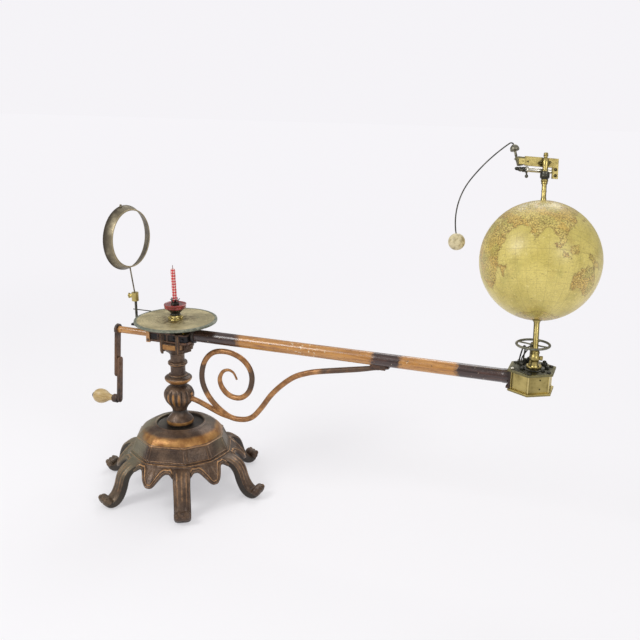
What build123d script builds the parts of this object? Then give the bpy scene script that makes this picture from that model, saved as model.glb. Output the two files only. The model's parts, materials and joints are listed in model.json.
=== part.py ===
"""Crank-driven tellurium: a globe and moon on a long arm that circles a candle on a cast-iron stand.

Millimetres. The origin is on the floor under the column, +Z is up and +X runs along the arm to the globe.
"""

import math
import os

from build123d import *

# Stand
FOOT_COUNT = 6
FOOT_RADIUS = 120.0
LEG_WIDTH = 26.0
DOME_LOW = 67.5
RECESS_FLOOR = 104.5
SPINDLE_RADIUS = 6.0
SPINDLE_TOP_RADIUS = 4.5

# Arm, disc and gears
ARM_HEIGHT = 257.0
ARM_RADIUS = 9.5
ARM_BORE = 7.6
DISC_TOP = 280.0
DISC_RADIUS = 64.0
DISC_THICKNESS = 4.0
MODULE = 0.9
SUN_TEETH = 42
CRANK_TEETH = 14
ARM_TEETH = 28
GEARBOX_TEETH = 16
CARRIER_TEETH = 24
SUN_FACE = 4.0
CARRIER_FACE = 2.6
SHAFT_RADIUS = 3.0
RUNNING_FIT = 0.05

# Heights that follow from the gears
SUN_PITCH_Z = ARM_HEIGHT - MODULE * ARM_TEETH / 2
CRANK_HEIGHT = SUN_PITCH_Z + MODULE * CRANK_TEETH / 2
CARRIER_PITCH_Z = ARM_HEIGHT + MODULE * GEARBOX_TEETH / 2
SUN_RADIUS = MODULE * SUN_TEETH / 2
CARRIER_RADIUS = MODULE * CARRIER_TEETH / 2

# Head frame on the column
FRAME_LOW = 246.0
FRAME_FLOOR = 248.0
FRAME_HIGH = 262.0
FRAME_LEFT = -39.0
FRAME_RIGHT = 30.0
FRAME_HALF_WIDTH = 22.0
WALL = 4.0
SUN_CLEAR_RADIUS = 23.2

# Crank
CRANK_X = -108.0
CRANK_LENGTH = 115.0
CRANK_LEAN = 6.7
BAR_THICKNESS = 4.6

# Gearbox under the globe
GEARBOX_X = 542.0
GEARBOX_LOW = 242.5
GEARBOX_HIGH = 273.0
PLATE = 3.0
PLATE_CORNER = 34.0
SHELL_CORNER = 28.5
FLOOR_CORNER = 32.5
SHELL_WALL = 2.4

# Globe and its leaning spindle
GLOBE_CENTRE = (536.7, 41.7, 408.9)
GLOBE_RADIUS = 80.0
GLOBE_WALL = 3.0
AXIS_TILT = 23.5
AXIS_AZIMUTH = 100.0
GLOBE_SPINDLE_RADIUS = 3.8
MOON_SPINDLE_RADIUS = 3.2
MOON_HEAD_TURN = -79.0

# Wheel beside the spindle
WHEEL_CENTRE = (540.5, 4.5)
WHEEL_Z = 304.0
WHEEL_RADIUS = 23.2

# Moon
MOON_PLANE = 5.5
MOON_RADIUS = 11.3
WIRE_RADIUS = 0.9

# Reflector
POST_X = -71.0
POST_TOP = 313.0
RING_CENTRE = (-77.9, 0.0, 400.8)
RING_BACK_RADIUS = 49.8
RING_FRONT_RADIUS = 44.4
RING_WALL = 1.7
RING_DEPTH = 14.0
RING_TURN = -6.0
RING_STUD_TURN = 12.0

GLOBE_FRAME = Location(GLOBE_CENTRE) * Rot(0, 0, AXIS_AZIMUTH) * Rot(0, AXIS_TILT, 0)
MOON_FRAME = GLOBE_FRAME * Rot(0, 0, MOON_HEAD_TURN)
LOW = (Align.CENTER, Align.CENTER, Align.MIN)


def rod(radius, low, high, bore=0.0):
    """A cylinder along Z from low to high, with an optional bore."""
    body = Cylinder(radius, high - low, align=LOW)
    if bore > 0:
        body -= Cylinder(bore, high - low, align=LOW)
    return Pos(0, 0, low) * body


def rod_x(radius, low, high, bore=0.0, y=0.0, z=0.0):
    """A cylinder along X from low to high."""
    return Pos(0, y, z) * Rot(0, 90, 0) * rod(radius, low, high, bore)


def turned(*outline):
    """A solid of revolution about Z from (radius, height) corners."""
    return revolve(make_face(Plane.XZ * Polyline(*outline, close=True)), Axis.Z)


def turned_curve(curve, bore):
    """A solid of revolution with a smooth outside through (radius, height) points, and a bore."""
    (_, low), (_, high) = curve[0], curve[-1]
    edges = Spline(*curve) + Polyline(curve[-1], (bore, high), (bore, low), curve[0])
    return revolve(make_face(Plane.XZ * edges), Axis.Z)


def slab(low, high):
    """A box between two corners."""
    size = [b - a for a, b in zip(low, high)]
    return Pos(*low) * Box(*size, align=(Align.MIN, Align.MIN, Align.MIN))


def hexagon(corner, low, high):
    """A hexagonal prism with one flat facing -X."""
    sketch = RegularPolygon(corner, 6, rotation=30)
    return Pos(GEARBOX_X, 0, low) * extrude(sketch, high - low)


def around(shape, count, start=0.0):
    """Copies of a shape spaced evenly about the Z axis."""
    return [Rot(0, 0, start + 360 * i / count) * shape for i in range(count)]


def spur_gear(teeth, width, bore):
    """A spur gear along Z whose first tooth points to +X."""
    radius = MODULE * teeth / 2
    levels = [(radius - 0.95, 0.74), (radius, 0.52), (radius + 0.7, 0.32)]
    points = []
    for i in range(teeth):
        middle = 2 * math.pi * i / teeth
        flank = [(r, -half / r) for r, half in levels] + [(r, half / r) for r, half in reversed(levels)]
        points += [(r * math.cos(middle + a), r * math.sin(middle + a)) for r, a in flank]
    blank = extrude(make_face(Polyline(*points, close=True)), width)
    return blank - Cylinder(bore, width, align=LOW)


def crown_gear(teeth, face, bore, thickness):
    """A crown gear about Z, teeth pointing up from z = 0 as the pitch plane, with a gap facing +X."""
    radius = MODULE * teeth / 2
    outline = [(-0.74, -0.95), (-0.52, 0), (-0.32, 0.7), (0.32, 0.7), (0.52, 0), (0.74, -0.95)]
    outline += [(0.6, -1.2), (-0.6, -1.2)]
    section = make_face(Plane.YZ * Polyline(*outline, close=True))
    tooth = Pos(radius - face / 2, 0, 0) * extrude(section, face, dir=(1, 0, 0))
    blank = rod(radius + face / 2 + 0.6, -0.95 - thickness, -0.95, bore)
    return blank + around(tooth, teeth, 180 / teeth)


def swept_rod(path, radius):
    """A round rod along a path."""
    section = Plane(origin=path @ 0, z_dir=path % 0) * Circle(radius)
    return sweep(section, path=path)


def tangent_path(start, direction, *points):
    """A chain of arcs through the points, each tangent to the one before."""
    pieces = []
    for point in points:
        arc = TangentArc(start, point, tangent=direction)
        pieces.append(arc)
        start = point
        direction = arc % 1
    return Wire(Curve(children=pieces).edges())


def screw_head(radius, height):
    """A slotted screw head standing on z = 0."""
    head = Cylinder(radius, height, align=LOW)
    return head - Pos(0, 0, height) * Box(2 * radius, radius * 0.25, height * 0.6)


# Stand


def base_dome():
    """The domed top of the cast-iron stand, hollow underneath, with a recess for the column."""
    outside = [(36.3, RECESS_FLOOR), (37, 109), (40.5, 109.5), (50, 107), (58, 102), (65, 95), (68, 91)]
    outside += [(79, DOME_LOW)]
    inside = [(71, DOME_LOW), (60, 87), (50, 94), (34, 95.5), (SPINDLE_RADIUS, 95.5)]
    return turned((SPINDLE_RADIUS, RECESS_FLOOR), *outside, *inside)


def leg_blank():
    """One cabriole leg along +X with a turned-up toe, before it is fitted to the stand."""
    outline = [(71, 62), (73, 67), (79, 67), (90, 63.5), (103, 61), (110.5, 54.5), (114, 45), (117, 36), (121, 26), (126, 19)]
    outline += [(130, 18.4), (135, 20.8), (140, 19.6), (143.2, 15), (142.4, 9), (136, 2.4), (128, 0), (FOOT_RADIUS - 6, 0)]
    outline += [(108, 6), (100, 18), (96, 28), (90, 36), (84, 42), (76, 48), (71, 54)]
    side = make_face(Plane.XZ * Polyline(*outline, close=True))
    leg = extrude(side, LEG_WIDTH / 2, both=True)
    return leg - cone_cut()


def cone_cut():
    """The space taken by the dome wall, which the leg stops against."""
    return turned((0, 40), (72.5, 40), (72.5, DOME_LOW), (79.2, DOME_LOW), (70, 86), (0, 86))


def base_skirt():
    """The scalloped skirt: six pendant lobes, one between each two legs."""
    outside = [(79, DOME_LOW), (86, 62), (95, 52), (103, 41)]
    inside = [(97, 37.5), (89, 47), (80, 57), (72.5, DOME_LOW)]
    skirt = turned(*outside, *inside)
    slot = Pos(85, 0, 47) * Rot(0, 90, 0) * Cylinder(11.5, 60)
    slot += Pos(85, 0, 27) * Box(60, 23, 40)
    for offset in (-15.5, 15.5):
        for cut in around(slot, FOOT_COUNT, offset):
            skirt -= cut
    for cut in around(slab((60, -LEG_WIDTH / 2, 20), (120, LEG_WIDTH / 2, 80)), FOOT_COUNT):
        skirt -= cut
    return skirt


def spindle():
    """The fixed steel spindle that the column turns on and that carries the sun gear and the disc."""
    body = rod(SPINDLE_RADIUS, 78, SUN_PITCH_Z - 0.95 - 3.8)
    return body + rod(SPINDLE_TOP_RADIUS, SUN_PITCH_Z - 0.95 - 3.8, DISC_TOP - DISC_THICKNESS)


def spindle_nut():
    """The flanged nut that clamps the spindle inside the dome, and the thrust washer above it."""
    nut = Pos(0, 0, 82) * extrude(RegularPolygon(13, 6), 10) + rod(18, 92, 95.5)
    nut -= rod(SPINDLE_RADIUS, 70, 100)
    return [nut, rod(19, RECESS_FLOOR, RECESS_FLOOR + 1, SPINDLE_RADIUS)]


def sun_gear():
    """The fixed crown gear, teeth upwards, that both pinions roll on."""
    return Pos(0, 0, SUN_PITCH_Z) * crown_gear(SUN_TEETH, SUN_FACE, SPINDLE_TOP_RADIUS, 3.8)


def disc_hub():
    """The brass hub between the spindle and the disc."""
    return turned(
        (SPINDLE_TOP_RADIUS, 265),
        (9, 265),
        (10, 270),
        (22, 273.5),
        (22, DISC_TOP - DISC_THICKNESS),
        (SPINDLE_TOP_RADIUS, DISC_TOP - DISC_THICKNESS),
    )


def calendar_disc():
    """The round calendar disc with a raised rim and a turned ring near its edge."""
    low = DISC_TOP - DISC_THICKNESS
    outline = [(0, low), (DISC_RADIUS - 1, low), (DISC_RADIUS, low + 1), (DISC_RADIUS, DISC_TOP - 0.6)]
    outline += [(DISC_RADIUS - 0.6, DISC_TOP), (DISC_RADIUS - 5, DISC_TOP), (DISC_RADIUS - 5.4, DISC_TOP - 0.4)]
    outline += [(0, DISC_TOP - 0.4)]
    return turned(*outline)


# Candle and its holder

DISC_FACE = DISC_TOP - 0.4
CANDLE_FOOT = 303.5


def candle_gallery():
    """The small pierced brass gallery that stands on the disc."""
    band = turned((7.5, DISC_FACE), (11, DISC_FACE), (10.2, 284), (8.4, 287), (7, 287), (7, 284))
    pierce = Pos(9, 0, 281.8) * Rot(0, 90, 0) * Cylinder(1.5, 8)
    for cut in around(pierce, 8):
        band -= cut
    return band


def candle_cup():
    """The dark turned cup on the gallery, with four leaf-shaped prongs that grip the candle."""
    outline = [(0, 287), (8.4, 287), (5.4, 289), (6, 291), (10.5, 295), (13.5, 297), (13.5, 298.5)]
    cup = turned(*outline, (6.2, 298.5), (6.2, 306), (4.2, 306), (4.2, CANDLE_FOOT), (0, CANDLE_FOOT))
    prong = slab((4.4, -1.6, 305), (5.6, 1.6, 312))
    return cup + around(prong, 4, 20)


def drip_pan():
    """The red drip pan with six shallow lobes."""
    dish = turned((0, 298.5), (13, 298.5), (16.8, 302), (17, 305), (14.5, 305.4), (11.5, 302.3), (0, 302.3))
    lobe = Pos(14.6, 0, 299.2) * Cylinder(3.4, 6.4, align=LOW)
    rim = dish + around(lobe, 6, 15)
    return rim - rod(11.5, 302.3, 310) - rod(6.2, 290, 310)


def candle():
    """The thin candle with its wick, leaning slightly in its socket."""
    stick = rod(3.2, 0, 56) + Pos(0, 0, 56) * Cone(3.2, 1.4, 1.6, align=LOW) + rod(0.5, 57, 63)
    return Pos(0.2, 0, CANDLE_FOOT + 0.2) * Rot(0, -1.2, 0) * stick


# Column


def column_ball():
    """The lower casting of the column: its bell-shaped foot and the gadrooned ball."""
    foot = [(19, 105.6), (21.3, 109), (21, 114), (17.5, 118.5), (13.5, 122), (11.5, 130)]
    ball = [(11.5, 130), (14.5, 137), (21.5, 145), (24, 155), (21.5, 164), (14, 170.5), (11, 173.5)]
    return turned_curve(foot, 8) + turned_curve(ball, 8)


def column_neck():
    """The upper casting of the column: a flattened knop and a neck with a ring at its middle."""
    knop = [(11, 173.5), (15, 176), (21, 181), (21.3, 184), (17, 188), (12.2, 190.5)]
    outline = [(12.2, 190.5), (11.6, 193), (11.6, 204), (14.8, 206.5), (15.2, 209), (14.4, 211.5)]
    outline += [(11, 213), (11, 224), (12.5, 226)]
    return turned_curve(knop, 8) + turned((8, 190.5), *outline, (8, 226))


def capital():
    """The octagonal capital that the head frame stands on, hollowed for the sun gear."""
    lower = Pos(0, 0, 226) * Rot(0, 0, 22.5) * loft([RegularPolygon(13, 8), Pos(0, 0, 9) * RegularPolygon(26, 8)])
    upper = Pos(0, 0, 235) * Rot(0, 0, 22.5) * extrude(RegularPolygon(27, 8), FRAME_LOW - 235)
    return lower + upper - rod(8, 220, 250) - rod(SUN_CLEAR_RADIUS, 238.3, 250)


def bearing_bushes():
    """The brass bushes of the column, the crank shaft and the drive shaft."""
    column = [rod(8, low, low + 16, SPINDLE_RADIUS + RUNNING_FIT) for low in (106, 222)]
    collar = rod_x(8.5, FRAME_LEFT - 3, FRAME_LEFT, z=CRANK_HEIGHT)
    crank = rod_x(7, FRAME_LEFT, FRAME_LEFT + WALL, z=CRANK_HEIGHT) + collar
    crank -= rod_x(4 + RUNNING_FIT, -60, 0, z=CRANK_HEIGHT)
    spans = [(FRAME_RIGHT + 2, FRAME_RIGHT + 10), (shell_flat() - 12, shell_flat())]
    arm = [rod_x(ARM_BORE, low, high, SHAFT_RADIUS + RUNNING_FIT, z=ARM_HEIGHT) for low, high in spans]
    return [*column, crank, *arm]


# Head frame and arm


def head_frame():
    """The open iron frame on the capital that holds the arm, the crank bearing and the reflector."""
    body = slab((FRAME_LEFT, -FRAME_HALF_WIDTH, FRAME_LOW), (FRAME_RIGHT, FRAME_HALF_WIDTH, FRAME_HIGH))
    inner_y = FRAME_HALF_WIDTH - WALL
    body -= slab((FRAME_LEFT + WALL, -inner_y, FRAME_FLOOR), (FRAME_RIGHT - WALL, inner_y, 270))
    body += slab((FRAME_LEFT, -10, 241), (FRAME_LEFT + WALL, 10, FRAME_LOW))
    body -= rod(SUN_CLEAR_RADIUS, 230, FRAME_FLOOR)
    body -= rod_x(7, -60, 0, z=CRANK_HEIGHT)
    body -= rod_x(ARM_RADIUS, 0, 60, z=ARM_HEIGHT)
    return body


def centre_bearing():
    """The cross block inside the frame that holds the inner ends of both shafts."""
    inner_y = FRAME_HALF_WIDTH - WALL
    body = slab((-15.5, -inner_y, FRAME_FLOOR), (15.5, inner_y, FRAME_HIGH))
    body -= rod(SPINDLE_TOP_RADIUS + 0.5, 230, 290)
    body -= rod_x(SHAFT_RADIUS + RUNNING_FIT, 0, 20, z=ARM_HEIGHT)
    return body - rod_x(4 + RUNNING_FIT, -20, 0, z=CRANK_HEIGHT)


def arm_tube():
    """The long tubular arm from the head frame to the gearbox, and the iron flange at its far end."""
    tube = rod_x(ARM_RADIUS, FRAME_RIGHT - WALL, shell_flat(), ARM_BORE, z=ARM_HEIGHT)
    flange = slab((shell_flat() - 3, -15, GEARBOX_LOW + 4), (shell_flat(), 15, GEARBOX_HIGH - 4))
    return [tube, flange - rod_x(ARM_RADIUS, 500, 530, z=ARM_HEIGHT)]


def shell_flat():
    """Where the gearbox's flat side meets the arm."""
    return GEARBOX_X - SHELL_CORNER * math.cos(math.radians(30))


def scroll_bracket():
    """The forged brace of the arm: an S-bar that ends in a spiral, with a tie to the column's ball."""
    bar = Line((326, 0, ARM_HEIGHT - ARM_RADIUS - 4.4), (222, 0, 221.5))
    spiral = tangent_path(
        bar @ 1,
        bar % 1,
        (161, 0, 177.6),
        (110.3, 0, 129.3),
        (42.4, 0, 184.5),
        (88, 0, 237),
        (129.2, 0, 203),
        (100, 0, 164),
        (73.7, 0, 190),
        (89.3, 0, 207.8),
        (103.3, 0, 194.3),
    )
    tie = swept_rod(tangent_path((16, 0, 152.5), (1, 0, -0.25), (60, 0, 140), (86, 0, 129.5)), 4.0)
    return swept_rod(Wire([bar.edge()] + spiral.edges()), 4.2) + (tie - column_ball())


def bracket_clip():
    """The clip that screws the scroll bracket to the underside of the arm."""
    tongue = slab((322, -5, ARM_HEIGHT - ARM_RADIUS - 2.5), (346, 5, ARM_HEIGHT - ARM_RADIUS + 1))
    screw = Pos(340, 0, ARM_HEIGHT - ARM_RADIUS - 2.5) * Rot(180, 0, 0) * screw_head(3.4, 2)
    return tongue + screw - rod_x(ARM_RADIUS, 300, 400, z=ARM_HEIGHT) - scroll_bracket()


# Crank


def crank_shaft():
    """The crank shaft, stepped down where it enters the frame."""
    thick = rod_x(5.3, CRANK_X + 2.3, FRAME_LEFT - 3.2, z=CRANK_HEIGHT)
    pin = rod_x(4, FRAME_LEFT - 3.2, -10, z=CRANK_HEIGHT) + rod_x(3.4, CRANK_X - 3, CRANK_X + 2.3, z=CRANK_HEIGHT)
    return thick + pin


def crank_pinion():
    """The pinion on the crank shaft that rolls on the sun gear."""
    gear = Rot(0, 90, 0) * spur_gear(CRANK_TEETH, SUN_FACE, 4)
    return Pos(-SUN_RADIUS - SUN_FACE / 2, 0, CRANK_HEIGHT) * gear


def hang(shape):
    """Places a piece drawn below the crank shaft's axis at the angle that the crank hangs at."""
    return Pos(0, 0, CRANK_HEIGHT) * Rot(-CRANK_LEAN, 0, 0) * shape


def flat_bar(x, top, bottom, width):
    """A flat bar in the crank's plane with round ends."""
    profile = Pos(0, (top + bottom) / 2) * SlotOverall(top - bottom + width, width, rotation=90)
    return extrude(Plane(origin=(x, 0, 0), x_dir=(0, 1, 0), z_dir=(1, 0, 0)) * profile, BAR_THICKNESS)


def crank_upper_bar():
    """The upper flat bar of the crank, on the end of the shaft."""
    bar = flat_bar(CRANK_X - BAR_THICKNESS / 2, 0, -72, 12)
    bar += rod_x(8, CRANK_X - 2.3, CRANK_X + 2.3)
    bar -= rod_x(3.4, CRANK_X - 20, CRANK_X + 20)
    return hang(bar - rivet_shape())


def crank_lower_bar():
    """The lower flat bar, lapped inside the upper one and riveted to it."""
    bar = flat_bar(CRANK_X + BAR_THICKNESS / 2, -50, -CRANK_LENGTH, 11)
    return hang(bar - rivet_shape() - rod_x(3, CRANK_X - 20, CRANK_X + 20, z=-CRANK_LENGTH))


def rivet_shape():
    """Both rivets of the lap joint, drawn below the shaft's axis."""
    low, high = CRANK_X - BAR_THICKNESS / 2, CRANK_X + 1.5 * BAR_THICKNESS
    rivets = []
    for z in (-56, -68):
        shank = rod_x(1.8, low, high, z=z)
        rivets.append(shank + rod_x(3, low - 1.2, low, z=z) + rod_x(3, high, high + 1.2, z=z))
    return rivets


def crank_rivets():
    """The two rivets that join the crank's bars."""
    return [hang(r) for r in rivet_shape()]


def handle_pin():
    """The iron pin of the handle with its round boss and end cap."""
    low, high = CRANK_X + BAR_THICKNESS / 2, CRANK_X + 1.5 * BAR_THICKNESS
    pin = rod_x(3, low, high) + rod_x(6.8, low - 10, low) + rod_x(2.6, -153, low - 10)
    cap = rod_x(4.4, -155, -153)
    return hang(Pos(0, 0, -CRANK_LENGTH) * (pin + cap))


def crank_handle():
    """The turned wooden handle that spins on its pin."""
    low = CRANK_X + BAR_THICKNESS / 2 - 10.3
    curve = [(6.2, 0), (8.5, 5), (11.6, 14), (11.8, 21), (9, 29), (5.5, low + 152.8)]
    pear = turned_curve(curve, 2.6 + RUNNING_FIT)
    return hang(Pos(low, 0, -CRANK_LENGTH) * Rot(0, -90, 0) * pear)


# Drive shaft


def drive_shaft():
    """The long shaft inside the arm."""
    return rod_x(SHAFT_RADIUS, 6.5, GEARBOX_X - CARRIER_RADIUS + 3, z=ARM_HEIGHT)


def arm_pinion():
    """The pinion at the column end of the drive shaft, with a tooth pointing down."""
    gear = Rot(0, 90, 0) * spur_gear(ARM_TEETH, SUN_FACE, SHAFT_RADIUS)
    return Pos(SUN_RADIUS - SUN_FACE / 2, 0, ARM_HEIGHT) * gear


def gearbox_pinion():
    """The pinion at the globe end of the drive shaft, with a tooth pointing up."""
    gear = Rot(0, 90, 0) * spur_gear(GEARBOX_TEETH, CARRIER_FACE, SHAFT_RADIUS)
    return Pos(GEARBOX_X - CARRIER_RADIUS - CARRIER_FACE / 2, 0, ARM_HEIGHT) * gear


# Gearbox


def gearbox_shell():
    """The hexagonal brass wall of the gearbox."""
    low, high = GEARBOX_LOW + PLATE, GEARBOX_HIGH - PLATE
    body = hexagon(SHELL_CORNER, low, high) - hexagon(SHELL_CORNER - SHELL_WALL, low, high)
    body -= rod_x(SHAFT_RADIUS + 0.6, shell_flat() - 5, GEARBOX_X - 15, z=ARM_HEIGHT)
    for z in (low + 7, high - 7):
        body -= Pos(GEARBOX_X, 0, z) * Rot(0, 0, -30) * Rot(0, 90, 0) * Pos(0, 0, 20) * Cylinder(1.3, 30)
    return body


def gearbox_floor():
    """The lower plate of the gearbox with the arbor's step bearing."""
    plate = hexagon(FLOOR_CORNER, GEARBOX_LOW, GEARBOX_LOW + PLATE)
    boss = Pos(GEARBOX_X, 0, 0) * rod(7, GEARBOX_LOW + PLATE, GEARBOX_LOW + PLATE + 4)
    return plate + boss - Pos(GEARBOX_X, 0, 0) * rod(4 + RUNNING_FIT, GEARBOX_LOW + 1.5, 290)


def gearbox_cover():
    """The upper plate of the gearbox, drilled for the arbor."""
    plate = hexagon(PLATE_CORNER, GEARBOX_HIGH - PLATE, GEARBOX_HIGH)
    return plate - Pos(GEARBOX_X, 0, 0) * rod(4 + RUNNING_FIT, 260, 290)


def cover_screws():
    """The six corner screws and the two taller studs of the gearbox cover."""
    head = Pos(27, 0, GEARBOX_HIGH) * screw_head(2.6, 1.8)
    stud = rod(4.2, GEARBOX_HIGH, GEARBOX_HIGH + 4.5) + rod(2.4, GEARBOX_HIGH + 4.5, GEARBOX_HIGH + 6.5)
    screws = [Pos(GEARBOX_X, 0, 0) * s for s in around(head, 6, 30)]
    return screws + [Pos(x, y, 0) * stud for x, y in ((556, 15), (534.5, 23))]


def detent_spring():
    """The bent steel wire that clicks against the wheel, on its foot at the back of the cover."""
    foot = slab((522, 13, GEARBOX_HIGH), (530.5, 17.6, GEARBOX_HIGH + 3))
    up = Line((524, 15, GEARBOX_HIGH + 2), (526.5, 15, 295))
    bend = TangentArc(up @ 1, (529, 15, 295), tangent=up % 1)
    down = Line(bend @ 1, (529, 15, GEARBOX_HIGH + 2))
    return foot + swept_rod(Wire([up.edge(), bend.edge(), down.edge()]), 1.0)


# Carrier that keeps the axis pointing one way


def carrier_arbor():
    """The vertical arbor of the carrier, with the brass flange above the cover."""
    arbor = Pos(GEARBOX_X, 0, 0) * rod(4, GEARBOX_LOW + 1.7, 276)
    return arbor + Pos(GEARBOX_X + 2.3, -0.5, 0) * rod(10, GEARBOX_HIGH + 1.5, GEARBOX_HIGH + 4)


def carrier_gear():
    """The crown gear on the arbor, teeth downwards, above the gearbox pinion."""
    gear = Rot(180, 0, 0) * crown_gear(CARRIER_TEETH, CARRIER_FACE, 4, 3.8)
    return Pos(GEARBOX_X, 0, CARRIER_PITCH_Z) * gear


def on_axis(distance):
    """A point on the globe's leaning axis, at a distance from the globe's centre."""
    return (GLOBE_FRAME * Pos(0, 0, distance)).position


def spindle_boss():
    """The brass boss on the flange that grips the foot of the leaning spindle, and its clamp screw."""
    knuckle = on_axis(-129)
    boss = Pos(knuckle.X - 0.2, knuckle.Y + 2.6, 0) * rod(4.9, GEARBOX_HIGH + 4, 288)
    boss += Pos(knuckle) * Sphere(6.3)
    boss += GLOBE_FRAME * rod(5.2, -127, -119)
    screw = rod_x(2.9, knuckle.X + 5.5, knuckle.X + 10, y=knuckle.Y, z=knuckle.Z)
    return [boss - GLOBE_FRAME * rod(GLOBE_SPINDLE_RADIUS, -126, -80), screw - boss]


def wheel_post():
    """The upright post that holds the spoked wheel."""
    post = rod(3.4, GEARBOX_HIGH + 4, WHEEL_Z - 3) + rod(2, WHEEL_Z - 3, WHEEL_Z + 1.5)
    post += rod(3, WHEEL_Z + 1.5, WHEEL_Z + 2.6)
    return Pos(*WHEEL_CENTRE, 0) * post


def hand_wheel():
    """The spoked steel wheel that turns the carrier by hand."""
    rim = Pos(0, 0, WHEEL_Z) * Torus(WHEEL_RADIUS - 1.7, 1.7)
    spoke = slab((2.5, -1.1, WHEEL_Z - 1), (WHEEL_RADIUS - 2, 1.1, WHEEL_Z + 0.8))
    hub = rod(3.4, WHEEL_Z - 3, WHEEL_Z + 1.5)
    return Pos(*WHEEL_CENTRE, 0) * (rim + hub + around(spoke, 4, -17) - rod(2, 290, 310))


def globe_spindle():
    """The leaning spindle that the globe and the moon's head turn on."""
    body = rod(GLOBE_SPINDLE_RADIUS, -126, 83.5) + rod(MOON_SPINDLE_RADIUS, 83.5, 109) + rod(2.5, 109, 117.5)
    return GLOBE_FRAME * (body + rod(5.2, -84.9, -83.5))


# Globe


def half_globe(low, high):
    """The part of the globe's papier-mache shell between two heights along its axis."""
    shell = Sphere(GLOBE_RADIUS) - Sphere(GLOBE_RADIUS - GLOBE_WALL) - rod(5.6, -100, 100)
    return GLOBE_FRAME * (shell & rod(100, low, high))


def globe_north():
    """The northern half of the globe."""
    return half_globe(0, 100)


def globe_south():
    """The southern half of the globe."""
    return half_globe(-100, 0)


def globe_core():
    """The brass tube that joins the globe's poles, with a collar at each end."""
    core = rod(5.6, -83.3, 83) + rod(7.2, -83.3, -80.3) + rod(6.6, 80.3, 83)
    return GLOBE_FRAME * (core - rod(GLOBE_SPINDLE_RADIUS + RUNNING_FIT, -90, 90))


# Moon head, drawn with X to its right, Y away and Z along the globe's axis


def moon_collar():
    """The dark collar that turns on the top of the spindle."""
    body = turned((2.55, 109.1), (3.8, 109.1), (5, 113), (6.3, 113), (6.3, 121), (0, 121), (0, 118), (2.55, 118))
    return MOON_FRAME * body


def moon_post():
    """The bottle-shaped brass post on the collar, with its knurled nut."""
    body = turned((0, 121), (3.6, 121), (4.1, 127), (4.3, 136), (3.4, 140.5), (2.2, 142.5), (2.2, 143.4), (0, 143.4))
    return MOON_FRAME * (body + rod(2.9, 143.4, 148))


def moon_plate():
    """The brass side plate with a lug on its right, drilled."""
    near, far = MOON_PLANE - 0.9, MOON_PLANE + 0.9
    body = slab((-27, near, 130), (19, far, 143)) + slab((11, near, 115), (19, far, 130))
    for x, z, radius in ((15, 127.3, 2), (15, 119, 2), (-22.5, 135.5, 1)):
        body -= Pos(x, MOON_PLANE, z) * Rot(90, 0, 0) * Cylinder(radius, 10)
    return MOON_FRAME * (body - rod(4.4, 110, 150))


def moon_tube():
    """The nickel tube under the plate, between the collar and the end nuts."""
    return MOON_FRAME * rod_x(3.1, -21, 10.5, 1.6, y=MOON_PLANE + 2.6, z=125.2)


def moon_fasteners():
    """The nut, wing and lever at the left end of the tube, and the two screws of the plate."""
    y, z = MOON_PLANE + 2.6, 125.2
    nut = rod_x(4.6, -25, -21, y=y, z=z) + rod_x(3.6, -33, -25, y=y, z=z)
    wing = slab((-37, y - 0.9, z - 5), (-33, y + 0.9, z + 3.4))
    lever = slab((-24.5, y - 1.2, z - 12), (-21.9, y + 1.2, z - 3.5))
    head = Rot(90, 0, 0) * screw_head(1.5, 1.4)
    screws = [MOON_FRAME * Pos(x, MOON_PLANE - 0.9, 136.3) * head for x in (-6.3, 6.3)]
    return [MOON_FRAME * (nut + wing + lever), *screws]


def end_block():
    """The dark inclined block at the left end of the plate, bored for the moon's stem."""
    outline = [(-41, 138.5), (-37, 140.6), (-27, 140.6), (-27, 131), (-33.5, 129.3), (-36, 129.3)]
    face = make_face(Plane.XZ * Polyline(*outline, close=True))
    block = Pos(0, MOON_PLANE, 0) * extrude(face, 3.2, both=True)
    return MOON_FRAME * (block - stem_hole())


STEM_FOOT = (-36.5, MOON_PLANE, 133.5)
STEM_LEAN = -15.0


def stem_place():
    """The frame of the moon's stem, which leans to the left."""
    return Pos(*STEM_FOOT) * Rot(0, STEM_LEAN, 0)


def stem_hole():
    """The blind hole for the moon's stem."""
    return stem_place() * rod(1.6 + RUNNING_FIT, 0, 30)


def moon_knob():
    """The bell-shaped knob and stem that carry the moon's wire."""
    bell = turned((0, 16.5), (5.8, 16.5), (6.2, 19), (4.8, 22.5), (2, 25), (0, 25.4))
    return MOON_FRAME * stem_place() * (rod(1.6, 0.2, 16.5) + bell)


def moon_wire():
    """The bent steel wire from the knob to the moon."""
    top = (stem_place() * Pos(0, 0, 25.2)).position
    y = MOON_PLANE
    path = tangent_path(
        (top.X, y, top.Z),
        (-0.5, 0, 1),
        (-48.5, y, 159),
        (-98, y, 104.5),
        (-112.8, y, 28),
    )
    return MOON_FRAME * swept_rod(path, WIRE_RADIUS) - moon_knob()


def moon_ball():
    """The small wooden moon."""
    return MOON_FRAME * Pos(-111.5, MOON_PLANE, 17.5) * Sphere(MOON_RADIUS) - moon_wire()


# Reflector


def reflector_arm():
    """The flat strip that carries the reflector's post out past the disc."""
    body = slab((POST_X - 7, -6, FRAME_HIGH), (FRAME_LEFT + 12, 6, FRAME_HIGH + 3))
    return body - Pos(POST_X, 0, 0) * rod(2.0 + RUNNING_FIT, 250, 280)


def reflector_post():
    """The upright post that turns in the strip, with its foot collar."""
    post = rod(2.0, FRAME_HIGH - 2, POST_TOP) + rod(4, FRAME_HIGH + 3.1, FRAME_HIGH + 6)
    return Pos(POST_X, 0, 0) * post - date_pointer()


def date_pointer():
    """The wire pointer through the post that reaches over the disc's edge."""
    return rod_x(0.8, POST_X - 5, -44, z=287.5)


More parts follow.
